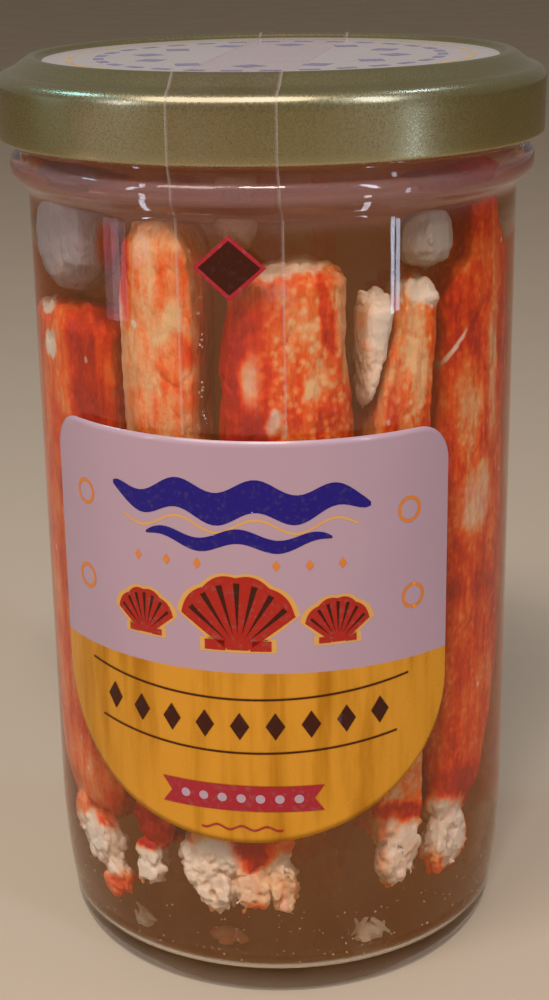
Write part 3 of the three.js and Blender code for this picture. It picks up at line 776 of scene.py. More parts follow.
@dataclass(frozen=True)
class GoldLacquer:
    """Satin gold lacquer on tinplate, with a fine orange-peel surface and a few scuffs."""

    colour: Triple = (0.45, 0.41, 0.27)
    shade: Triple = (0.36, 0.33, 0.21)

    def material(self) -> Material:
        """Makes the material.

        Returns:
            The material.
        """
        f = Finish("lid_gold_lacquer")
        cloud = f.noise(14.0, detail=2.0)
        grain = f.noise(0.35, detail=2.0)
        scuff = f.span(f.noise(5.0, (1.0, 1.0, 4.0), detail=6.0, roughness=0.7), 0.62, 0.74)
        colour = f.mix(cloud, opaque(self.colour), opaque(self.shade))
        speck = f.mix(f.span(grain, 0.4, 0.7), colour, opaque(self.shade))
        colour = f.mix(0.2, colour, speck)
        rough = f.sum("MULTIPLY_ADD", scuff, 0.08, f.span(grain, 0.3, 0.7, 0.25, 0.34))
        peel = f.bump(f.noise(0.9, detail=2.0), 0.012, 0.4)
        inputs = {
            "Base Color": colour,
            "Metallic": 0.92,
            "Roughness": rough,
            "Coat Weight": 0.25,
            "Coat Roughness": 0.22,
            "Normal": f.bump(grain, 0.006, 0.3, peel),
        }
        return f.coated(inputs)


@dataclass(frozen=True)
class SatinPrint:
    """A smooth printed surface whose colour drifts a little."""

    name: str
    colour: Triple
    drift: Triple
    roughness: float = 0.35
    metallic: float = 0.0
    coat: float = 0.3

    def material(self) -> Material:
        """Makes the material.

        Returns:
            The material.
        """
        f = Finish(self.name)
        colour = f.mix(f.noise(6.0, detail=4.0), opaque(self.colour), opaque(self.drift))
        tooth = f.noise(0.25, detail=2.0)
        inputs = {
            "Base Color": colour,
            "Metallic": self.metallic,
            "Roughness": f.span(tooth, 0.3, 0.7, self.roughness - 0.05, self.roughness + 0.05),
            "Coat Weight": self.coat,
            "Coat Roughness": 0.18,
            "Normal": f.bump(tooth, 0.006, 0.4),
        }
        return f.coated(inputs)


@dataclass(frozen=True)
class LabelPaper:
    """A smooth label, pale lilac above a level line and glossy gold below it, with painted reflections in
    upright streaks on the gold.
    """

    line: float = 58.8
    line_blur: float = 0.12
    upper: Triple = (0.43, 0.30, 0.36)
    upper_shade: Triple = (0.39, 0.27, 0.33)
    lower: Triple = (0.70, 0.33, 0.062)
    # The darker gold of the painted reflection streaks.
    lower_reflection_streak: Triple = (0.46, 0.19, 0.030)

    def material(self) -> Material:
        """Makes the material.

        Returns:
            The material.
        """
        f = Finish("label_lilac_and_gold")
        height = f.add("SeparateXYZ", {0: f.place()}).outputs["Z"]
        gold = f.span(height, (self.line + self.line_blur) * MM, (self.line - self.line_blur) * MM)
        drift = f.noise(22.0, detail=2.0)
        tooth = f.noise(3.0, detail=3.0)
        # Upright streaks of painted reflection on the gold.
        painted_reflection_streaks = f.span(f.noise(5.0, (1.0, 1.0, 0.12), detail=4.0, roughness=0.6), 0.42, 0.72)
        upper = f.mix(drift, opaque(self.upper), opaque(self.upper_shade))
        lower = f.mix(painted_reflection_streaks, opaque(self.lower), opaque(self.lower_reflection_streak))
        inputs = {
            "Base Color": f.mix(gold, upper, lower),
            "Metallic": f.sum("MULTIPLY", gold, 0.4),
            "Roughness": f.sum("MULTIPLY_ADD", gold, -0.12, f.span(tooth, 0.3, 0.7, 0.38, 0.46)),
            "Coat Weight": 0.35,
            "Coat Roughness": 0.12,
        }
        return f.coated(inputs)


@dataclass(frozen=True)
class PrintedInk:
    """Satin printing ink, worn very slightly."""

    name: str
    colour: Triple
    wear: float = 0.3
    wear_lift: float = 0.05

    def material(self) -> Material:
        """Makes the material.

        Returns:
            The material.
        """
        f = Finish(self.name)
        worn = f.noise(0.8, detail=3.0)
        grey = sum(self.colour) / 3 + self.wear_lift
        light = [c * (1 - self.wear) + self.wear * grey for c in self.colour]
        inputs = {
            "Base Color": f.mix(f.span(worn, 0.5, 0.75), opaque(self.colour), opaque(light)),
            "Roughness": f.span(worn, 0.3, 0.7, 0.34, 0.44),
            "Coat Weight": 0.3,
            "Coat Roughness": 0.12,
        }
        return f.coated(inputs)


@dataclass(frozen=True)
class ClearFilm:
    """Clear adhesive film with a faint rosy haze and a painted highlight along its cut edges."""

    haze: Triple = (0.40, 0.30, 0.32)
    # The pale colour of the painted highlight along the cut edges.
    edge: Triple = (0.70, 0.62, 0.56)
    tint: Triple = (0.997, 0.988, 0.993)
    haze_share: float = 0.03
    edge_highlight_share: float = 0.2

    def material(self) -> Material:
        """Makes the material.

        Returns:
            The material.
        """
        f = Finish("tape_clear_film")
        cloud = f.noise(7.0, (1.0, 1.0, 0.4), detail=3.0, roughness=0.65)
        # The edge mark places the painted highlight along the cut edges.
        edge = f.mark("edge")
        share = f.span(cloud, 0.3, 0.8, 0.0, self.haze_share)
        share = f.sum("ADD", share, f.sum("MULTIPLY", edge, self.edge_highlight_share))
        gloss = f.principled(
            {
                "Base Color": f.mix(edge, opaque(self.haze), opaque(self.edge)),
                "Roughness": 0.3,
                "Coat Weight": 0.3,
                "Coat Roughness": 0.1,
            }
        )
        clear = f.add("BsdfTransparent", {"Color": opaque(self.tint)}).outputs[0]
        return f.done(f.add("MixShader", {0: share, 1: clear, 2: gloss}).outputs[0])


@dataclass(frozen=True)
class SoftCompound:
    """The cream sealing compound under the lid."""

    colour: Triple = (0.66, 0.60, 0.50)
    shade: Triple = (0.55, 0.49, 0.40)

    def material(self) -> Material:
        """Makes the material.

        Returns:
            The material.
        """
        f = Finish("seal_soft_compound")
        cloud = f.noise(2.0, detail=3.0)
        inputs = {
            "Base Color": f.mix(cloud, opaque(self.colour), opaque(self.shade)),
            "Roughness": f.span(cloud, 0.3, 0.7, 0.5, 0.65),
            "Subsurface Weight": 0.2,
            "Subsurface Radius": (0.002, 0.0015, 0.001),
            "Normal": f.bump(f.noise(0.6), 0.04, 0.5),
        }
        return f.coated(inputs)


class Bleach(Enum):
    """The colours of flesh that has lost its skin, one of them darkened with painted shade."""

    TORN = (0.74, 0.57, 0.48)
    # White flesh painted lilac grey for the lobe: its greyness is painted shade.
    LOBE = (0.37, 0.29, 0.315)
    VEIL = (0.46, 0.355, 0.31)
    CRUMB = (0.90, 0.84, 0.78)


@dataclass(frozen=True)
class CrabFlesh:
    """Moist cooked leg meat: cream fibres under a red-orange skin, white where it is torn.

    It reads two marks that each piece carries: skin, how much red skin is left, and pale,
    how bleached the flesh is.
    """

    name: str
    bleached: Triple = Bleach.TORN.value
    cream: Triple = (0.74, 0.41, 0.215)
    peach: Triple = (0.76, 0.27, 0.115)
    orange: Triple = (0.78, 0.13, 0.032)
    red: Triple = (0.66, 0.042, 0.012)
    deep: Triple = (0.40, 0.022, 0.018)
    fibre: float = 0.5
    fine: float = 0.42
    soft_depth: float = 1.4

    def material(self) -> Material:
        """Makes the material.

        Returns:
            The material.
        """
        f = Finish(self.name)
        fibre = f.noise(0.9, (1.0, 1.0, 0.14), detail=3.0, roughness=0.6)
        fine = f.noise(0.35, (1.0, 1.0, 0.5), detail=2.0)
        amount = f.sum("MULTIPLY_ADD", f.sum("SUBTRACT", fibre, 0.5), self.fibre, f.mark("skin"))
        amount = f.sum("MULTIPLY_ADD", f.sum("SUBTRACT", fine, 0.5), self.fine, amount)
        stops = [
            (0.06, self.cream),
            (0.30, self.peach),
            (0.52, self.orange),
            (0.76, self.red),
            (1.0, self.deep),
        ]
        colour = f.ramp(amount, stops)
        white = f.sum("MULTIPLY_ADD", f.sum("SUBTRACT", fine, 0.5), 0.5, f.mark("pale"))
        colour = f.mix(f.span(white, 0.15, 0.85), colour, opaque(self.bleached))
        inputs = {
            "Base Color": colour,
            "Roughness": 0.55,
            "Specular IOR Level": 0.12,
            "Subsurface Weight": 0.3,
            "Subsurface Radius": (1.0, 0.35, 0.18),
            "Subsurface Scale": self.soft_depth * MM,
            "Normal": f.bump(f.sum("MULTIPLY_ADD", fine, 0.8, fibre), 0.3, 0.6),
        }
        return f.coated(inputs)


@dataclass(frozen=True)
class StudioFloor:
    """A plain pale floor with a very slight mottle."""

    colour: Triple = (0.50, 0.42, 0.335)
    mottle: float = 0.96

    def material(self) -> Material:
        """Makes the material.

        Returns:
            The material.
        """
        f = Finish("studio_floor")
        mottle = f.noise(60.0, detail=2.0)
        shade = [c * self.mottle for c in self.colour]
        inputs = {
            "Base Color": f.mix(mottle, opaque(self.colour), opaque(shade)),
            "Roughness": f.span(mottle, 0.3, 0.7, 0.55, 0.65),
        }
        return f.coated(inputs)


# The glass jar and its brine


@dataclass
class GlassJar:
    """The jar: a tapered heel, a straight wall, a bead under the lid and a threaded mouth."""

    body_radius: float = 38.6
    wall: float = 2.4
    foot_radius: float = 33.5
    foot_width: float = 3.0
    push_up: float = 1.1
    heel_radius: float = 37.2
    heel_height: float = 6.0
    swell: Point = (38.1, 13.0)
    wall_start: float = 22.0
    floor_z: float = 4.4
    floor_crown: float = 0.8
    floor_fillet: float = 6.0
    wall_end: float = 127.5
    bead_radius: float = 41.3
    bead_span: Point = (130.2, 132.3)
    neck: Point = (39.2, 134.6)
    finish: Point = (39.6, 136.0)
    rim_z: float = 144.6
    thread_starts: int = 6
    thread_reach: float = 1.15
    thread_half: float = 0.85
    thread_arc: float = 50.0
    thread_rise: float = 2.4
    thread_z: float = 138.6
    thread_blend: float = 1.15
    unevenness: float = 0.07
    uneven_seed: int = 5
    uneven: Pattern = Pattern((16, 16, 30), 2)
    sides: int = 240

    @property
    def bore(self) -> float:
        """The radius of the inside."""
        return self.body_radius - self.wall

    def heel(self, steps: int = 14) -> list[Corner]:
        """The heel's quarter ellipse, from the foot ring up to the side.

        Args:
            steps: How many steps it takes.

        Returns:
            Its corners, from the foot up.
        """
        reach = self.heel_radius - self.foot_radius
        turns = [math.pi / 2 * i / steps for i in range(1, steps + 1)]
        return [
            Corner(self.foot_radius + reach * math.sin(a), self.heel_height * (1 - math.cos(a)))
            for a in turns
        ]

    def outer_corners(self) -> list[Corner]:
        """The outside from the middle of the foot up to the rim.

        Returns:
            Its corners.
        """
        low, high = self.bead_span
        return [
            Corner(0.0, self.push_up),
            Corner(self.foot_radius - self.foot_width - 2.4, self.push_up * 0.8, 1.4),
            Corner(self.foot_radius - self.foot_width, 0.0, 0.6),
            Corner(self.foot_radius, 0.0, 0.9),
            *self.heel(),
            Corner(*self.swell, 4.0),
            Corner(self.body_radius, self.wall_start, 5.0),
            Corner(self.body_radius, self.wall_end, 1.3),
            Corner(self.body_radius + 0.9, self.wall_end + 1.1, 0.5),
            Corner(self.bead_radius, low - 0.2, 0.9),
            Corner(self.bead_radius, high, 0.9),
            Corner(self.neck[0], self.neck[1] - 0.3, 0.9),
            Corner(*self.finish, 0.6),
            Corner(self.finish[0], self.rim_z, 1.2),
            Corner((self.finish[0] + self.bore) / 2, self.rim_z, 0.3),
        ]

    def inner_corners(self) -> list[Corner]:
        """The inside from the rim down to the middle of the floor.

        Returns:
            Its corners.
        """
        return [
            Corner(self.bore, self.rim_z, 1.2),
            Corner(self.bore, self.wall_end, 2.0),
            Corner(self.bore, self.floor_z, self.floor_fillet),
            Corner(self.bore - 2 * self.floor_fillet, self.floor_z, 3.0),
            Corner(0.0, self.floor_z + self.floor_crown),
        ]

    def shaped(self, angle: np.ndarray, radius: np.ndarray, height: np.ndarray) -> np.ndarray:
        """Adds the thread ridges outside and the pressed glass's unevenness inside.

        Args:
            angle: The azimuths in radians.
            radius: The plain radii.
            height: The heights.

        Returns:
            The shaped radii.
        """
        azimuth = np.degrees(angle) % (360 / self.thread_starts)
        along = azimuth / self.thread_arc
        middle = self.thread_z + self.thread_rise * (0.5 - along)
        fade = np.sqrt(np.clip(np.sin(math.pi * np.clip(along, 0, 1)), 0, 1))
        across = np.abs(height - middle) / (self.thread_half * self.thread_blend)
        ridge = self.thread_reach * fade * np.sqrt(np.clip(1 - across**2, 0, 1))
        outside = radius > self.finish[0] - 0.4
        shaped = radius + np.where(outside, ridge, 0.0)
        places = np.stack([radius * np.sin(angle), -radius * np.cos(angle), height], axis=-1)
        wave = self.uneven.over(Grain(self.uneven_seed), places.reshape(-1, 3)).reshape(radius.shape)
        on_wall = (height > self.floor_z + 2) & (height < self.rim_z - 3)
        inside = (radius < self.bore + 0.01) & on_wall
        return shaped + np.where(inside, wave * self.unevenness, 0.0)

    def build(self) -> Piece:
        """Builds and dresses the jar.

        Returns:
            The jar.
        """
        outer = rounded(self.outer_corners(), longest=0.9)
        corners = [self.outer_corners()[-1], *self.inner_corners()]
        inner = rounded(corners, longest=1.6)
        jar = turned("jar_glass_body", outer + inner[1:], self.sides, self.shaped)
        return settle(jar, Body.JAR, Slot.GLASS, ClearGlass().material(), "glass_jar")


@dataclass
class Brine:
    """The brine round the meat, reaching a little into the glass so that no air shows."""

    jar: GlassJar
    level: float = 134.2
    overlap: float = 0.12
    meniscus: float = 0.9

    def build(self) -> Piece:
        """Builds and dresses the brine.

        Returns:
            The brine.
        """
        wall = self.jar.bore + self.overlap
        floor = self.jar.floor_z - self.overlap
        corners = [
            Corner(0.0, floor + self.jar.floor_crown),
            Corner(self.jar.bore - 2 * self.jar.floor_fillet, floor, 3.0),
            Corner(wall, floor, self.jar.floor_fillet),
            Corner(wall, self.level + self.meniscus, 0.1),
            Corner(wall - 0.4, self.level + self.meniscus * 0.6, 0.3),
            Corner(wall - 2.0, self.level, 0.8),
            Corner(0.0, self.level),
        ]
        brine = turned("brine", rounded(corners, longest=3.0), 192, self.shaped)
        return settle(brine, Body.JAR, Slot.BRINE, MurkyBrine().material())

    def shaped(self, angle: np.ndarray, radius: np.ndarray, height: np.ndarray) -> np.ndarray:
        """Keeps the brine's wall a fixed distance into the jar's uneven glass.

        Args:
            angle: The azimuths in radians.
            radius: The plain radii.
            height: The heights.

        Returns:
            The shaped radii.
        """
        on_wall = radius > self.jar.bore - 0.05
        plain = np.where(on_wall, self.jar.bore, 0.0)
        uneven = self.jar.shaped(angle, plain, height) - plain
        return radius + np.where(on_wall, uneven, 0.0)


# The leg meat


@dataclass(frozen=True)
class Mark:
    """A soft-edged patch that shows through the glass, on whichever flesh lies there.

    Its middle is given as an azimuth and a height on the glass, and its reach to either side
    and up and down in millimetres. lean turns it by so many degrees for each millimetre up.
    """

    azimuth: float
    z: float
    half_width: float
    half_height: float
    skin: float | None = None
    pale: float | None = None
    beads: float | None = None
    lean: float = 0.0
    edge: float = 0.35


@dataclass(frozen=True)
class Flesh:
    """How one solid of flesh is dressed.

    skin and pale set its usual colour, stripes how much its skin changes from fibre to
    fibre, beads how grainy it is, voxel its cells in millimetres, rough how strong its
    relief is, flakes how many torn flakes hang round its foot over a height of torn,
    top_flakes how many lie on its crown, and ends how bleached its two ends are.
    """

    node: str
    slot: Slot
    seed: int
    skin: float
    pale: float = 0.0
    beads: float = 0.15
    stripes: float = 0.13
    voxel: float = 0.36
    rough: float = 1.0
    flakes: int = 0
    torn: float = 14.0
    top_flakes: int = 0
    bleach: Bleach = Bleach.TORN
    ends: float = 0.0


class MeatMarks:
    """The patches of colour on the meat, from left to right and from the top down."""

    LEFT = (
        Mark(-40.0, 92.0, 5.4, 34.0, skin=0.93),
        Mark(-36.0, 92.0, 1.6, 30.0, skin=0.72),
        Mark(-62.0, 95.0, 5.0, 30.0, skin=0.62),
        Mark(-58.0, 104.5, 2.2, 2.2, pale=0.75, skin=0.2),
        Mark(-34.0, 118.0, 2.6, 12.0, skin=0.8, pale=0.0, edge=0.5),
        Mark(-62.0, 111.0, 4.0, 1.2, pale=0.6),
    )
    FRONT_LEFT = (
        Mark(-29.6, 104.0, 1.6, 9.0, skin=0.12, pale=0.6),
        Mark(-20.0, 104.0, 5.6, 13.0, skin=0.16, pale=0.0),
        Mark(-16.0, 105.0, 2.0, 3.0, skin=0.55),
        Mark(-12.5, 107.5, 1.7, 2.6, skin=0.62),
        Mark(-14.0, 118.0, 2.6, 4.0, skin=0.56),
        Mark(-29.5, 118.0, 2.0, 9.0, skin=0.74, lean=-0.1),
        Mark(-22.5, 122.0, 2.4, 2.6, skin=0.35, pale=0.4),
        Mark(-24.6, 111.5, 0.6, 0.6, pale=1.0),
        Mark(-24.0, 98.0, 5.0, 4.0, skin=0.34),
        Mark(-12.0, 98.0, 2.2, 4.0, skin=0.3),
        Mark(-24.0, 62.0, 5.0, 26.0, skin=0.3),
    )
    FRONT = (
        Mark(11.0, 121.0, 9.5, 1.7, skin=0.08, pale=0.45),
        Mark(5.0, 116.5, 7.0, 2.6, skin=0.42, pale=0.28),
        Mark(1.0, 102.5, 5.8, 13.0, skin=0.95, pale=0.0, beads=0.0),
        Mark(-1.0, 104.0, 2.2, 5.0, skin=0.97, pale=0.0),
        Mark(4.6, 104.5, 1.5, 4.4, skin=0.14, pale=0.22, edge=0.55),
        Mark(8.8, 97.6, 1.1, 1.8, skin=0.1, pale=0.6, edge=0.4),
        Mark(16.5, 106.0, 6.4, 13.0, skin=0.46, beads=0.9),
        Mark(15.6, 112.5, 2.6, 3.6, skin=0.26, beads=0.7),
        Mark(19.5, 103.5, 1.8, 2.6, skin=0.34, beads=0.7),
        Mark(17.6, 101.8, 1.1, 1.2, skin=0.05, beads=0.2),
        Mark(21.4, 114.0, 0.9, 5.6, skin=0.85, beads=0.3, lean=-0.22),
        Mark(26.0, 104.0, 1.1, 5.5, skin=0.8, lean=-0.3),
        Mark(22.5, 97.5, 3.4, 4.6, skin=0.6, beads=1.0),
        Mark(27.6, 111.5, 2.3, 9.0, skin=0.12, pale=0.3, beads=0.7),
        Mark(13.5, 97.5, 1.4, 3.0, skin=0.75),
        Mark(0.5, 26.5, 3.4, 4.0, skin=1.0, pale=0.0),
        Mark(-11.5, 23.0, 6.5, 8.0, skin=0.04, pale=0.75),
        Mark(-5.0, 17.5, 3.0, 2.6, skin=0.1, pale=0.65),
        Mark(10.0, 20.5, 3.4, 5.2, skin=0.12, pale=0.42),
        Mark(3.0, 20.5, 3.6, 3.0, skin=0.2, pale=0.35),
        Mark(-12.0, 29.5, 3.0, 1.6, skin=0.3, pale=0.3),
    )
    FRONT_RIGHT = (
        Mark(47.0, 115.5, 3.8, 2.0, skin=0.1, pale=0.7),
        Mark(42.0, 104.0, 3.6, 8.0, skin=0.22),
        Mark(40.0, 97.0, 3.0, 5.0, skin=0.34),
        Mark(48.2, 100.0, 1.3, 14.0, skin=0.62),
        Mark(36.5, 97.0, 1.0, 5.0, skin=0.6),
        Mark(41.0, 78.0, 4.0, 12.0, skin=0.4),
        Mark(41.0, 31.0, 3.6, 2.0, skin=0.98, pale=0.0),
        Mark(41.5, 24.0, 4.0, 5.6, skin=0.1, pale=0.66),
        Mark(38.5, 20.5, 2.4, 2.6, skin=0.12, pale=0.6),
    )
    RIGHT = (
        Mark(62.0, 124.0, 4.4, 6.0, skin=0.9),
        Mark(62.0, 112.0, 4.6, 9.0, skin=0.74),
        Mark(56.4, 105.0, 0.55, 3.4, skin=0.1, pale=0.85, lean=1.6, edge=0.5),
        Mark(52.4, 101.6, 0.5, 1.6, skin=0.2, pale=0.7, lean=0.4, edge=0.5),
        Mark(62.0, 96.0, 2.8, 9.0, skin=0.46),
        Mark(54.0, 95.0, 1.8, 7.5, skin=0.7),
        Mark(73.0, 104.0, 1.6, 14.0, skin=0.35, pale=0.3, edge=0.6),
        Mark(66.0, 80.0, 4.6, 6.0, skin=0.34, pale=0.35),
        Mark(58.0, 66.0, 2.6, 3.0, skin=0.9),
        Mark(60.0, 50.0, 6.0, 12.0, skin=0.66),
        Mark(60.0, 31.8, 6.0, 3.0, skin=1.0, pale=0.0),
        Mark(57.0, 23.5, 4.6, 6.6, skin=0.1, pale=0.62),
        Mark(51.8, 18.6, 1.6, 1.8, skin=0.5, pale=0.3),
    )
    BELOW = (
        Mark(-58.0, 32.0, 8.0, 6.0, skin=0.5),
        Mark(-46.0, 20.5, 7.2, 4.8, skin=0.1, pale=0.8),
        Mark(-40.0, 14.4, 4.4, 2.2, skin=0.55, pale=0.25),
        Mark(-26.5, 27.5, 4.6, 4.6, skin=1.05, pale=0.0),
        Mark(-26.0, 20.8, 4.4, 3.4, skin=0.1, pale=0.78),
        Mark(-58.0, 27.0, 4.0, 3.0, skin=0.4, pale=0.2),
    )
    ALL = LEFT + FRONT_LEFT + FRONT + FRONT_RIGHT + RIGHT + BELOW


# The cells of the fused skin in millimetres, in front and at the back
FINE = 0.32
HIDDEN = 0.5
FLESH = (
    Flesh("leg_meat_front", Slot.RED_FLESH, 11, 0.55, voxel=FINE, flakes=190, torn=17.0, top_flakes=40),
    Flesh(
        "leg_meat_front_right", Slot.ORANGE_FLESH, 23, 0.34, beads=0.6, voxel=FINE, flakes=110, top_flakes=30
    ),
    Flesh("leg_meat_right", Slot.RED_FLESH, 37, 0.74, beads=0.4, voxel=FINE, flakes=120, top_flakes=10),
    Flesh("leg_meat_left", Slot.RED_FLESH, 41, 0.6, voxel=FINE, flakes=120, top_flakes=12),
    Flesh("leg_meat_front_left", Slot.CREAM_FLESH, 53, 0.28, voxel=FINE, flakes=110, top_flakes=20),
    Flesh("pale_flake", Slot.WHITE_FLESH, 59, 0.08, 0.75, 0.1, 0.05, 0.24, 0.5, top_flakes=8),
    Flesh("leg_meat_back_right", Slot.ORANGE_FLESH, 61, 0.45, voxel=HIDDEN, flakes=60, ends=0.8),
    Flesh("leg_meat_back", Slot.RED_FLESH, 71, 0.7, voxel=HIDDEN, flakes=60, ends=0.8),
    Flesh("leg_meat_back_left", Slot.CREAM_FLESH, 83, 0.28, voxel=HIDDEN, flakes=60, ends=0.8),
    Flesh("leg_meat_rear_left", Slot.RED_FLESH, 97, 0.62, voxel=HIDDEN, flakes=60, ends=0.8),
    Flesh("leg_meat_middle_front", Slot.ORANGE_FLESH, 101, 0.34, 0.1, voxel=HIDDEN, flakes=30, ends=0.7),
    Flesh("leg_meat_middle_right", Slot.CREAM_FLESH, 113, 0.2, 0.2, voxel=HIDDEN, flakes=30, ends=0.7),
    Flesh("leg_meat_middle_left", Slot.RED_FLESH, 127, 0.55, voxel=HIDDEN, flakes=30, ends=0.7),
    Flesh("pale_end_left", Slot.WHITE_FLESH, 131, 0.1, 0.9, 0.0, 0.05, 0.3, 0.3, bleach=Bleach.LOBE),
    Flesh("pale_end_middle", Slot.WHITE_FLESH, 157, 0.2, 0.6, 0.0, 0.1, 0.22, 0.7, 10, 4.0, 8),
    Flesh("pale_end_right", Slot.WHITE_FLESH, 137, 0.1, 0.85, 0.1, 0.1, 0.24, 0.45, 4, 5.0, 0, Bleach.VEIL),
    Flesh("crumb_front", Slot.WHITE_FLESH, 139, 0.02, 1.0, 0.0, 0.0, 0.12, 0.6, 9, 3.0, 0, Bleach.CRUMB),
    Flesh("crumb_left", Slot.WHITE_FLESH, 149, 0.02, 1.0, 0.0, 0.0, 0.12, 0.5, 5, 3.0, 0, Bleach.CRUMB),
    Flesh("chip_front", Slot.RED_FLESH, 151, 0.4, 0.45, 0.0, 0.1, 0.12, 0.5, 5, 3.0),
)


@dataclass(frozen=True)
class FlakeShape:
    """How torn flakes and hanging strands are shaped, in millimetres."""

    flake_least: Triple = (0.5, 0.35, 0.3)
    flake_most: Triple = (1.5, 0.9, 0.6)
    strand_least: Triple = (1.6, 0.32, 0.28)
    strand_most: Triple = (3.0, 0.5, 0.42)
    droop: float = 2.5
    lie_flat: float = 0.7
    uneven: float = 0.16
    stand_out: float = 0.2
    strands_at_foot: float = 0.35
    crown: float = 3.0


@dataclass(frozen=True)
class Relief:
    """The relief raised on flesh: its patterns, and their heights in millimetres."""

    bundle: Pattern = Pattern((3.6, 3.6, 30.0), 2)
    fibre: Pattern = Pattern((1.1, 1.1, 9.0), 2, 40)
    lump: Pattern = Pattern((6.0, 6.0, 9.0), 4, 80)
    crumble: Pattern = Pattern((1.7, 1.7, 2.2), 3, 160)
    tear: Pattern = Pattern((5.0, 5.0, 15.0), 2, 120)
    bundle_height: float = 0.20
    fibre_height: float = 0.07
    lump_height: float = 0.30
    lift: float = 0.15
    crumble_height: float = 0.14
    torn_crumble: float = 0.56
    tear_depth: float = 0.22
    tear_width: float = 0.10
    foot_share: float = 0.45
    floor_z: float = 4.95
    floor_crown: float = 0.75
    floor_reach: float = 30.0


@dataclass(frozen=True)
class Colouring:
    """How the colours of flesh change over it."""

    seed_step: int = 1000
    fleck_seed_step: int = 5
    warp: Pattern = Pattern((5.0, 5.0, 9.0), 3)
    drift: Pattern = Pattern((4.5, 4.5, 8.0), 4, 60)
    streak: Pattern = Pattern((2.4, 2.4, 34.0), 3, 150)
    crown_haste: float = 1.8
    end_drift: float = 5.0
    end_share: float = 0.4
    shown_blend: float = 4.0
    mark_warp: float = 0.9
    mark_drift: float = 1.6
    mark_power: float = 2.4
    bead_size: Triple = (1.2, 1.2, 1.4)
    bead_span: Point = (0.2, 0.56)
    bead_lift: float = 0.10
    bead_depth: float = 0.36
    fleck_size: Triple = (5.2, 5.2, 7.5)
    fleck_shift: float = 9.0
    fleck_span: Point = (0.04, 0.13)
    fleck_share: float = 0.6
    skin_drift: float = 0.26
    pale_warp: float = 0.22
    pale_least: float = 0.02
    most: float = 1.2


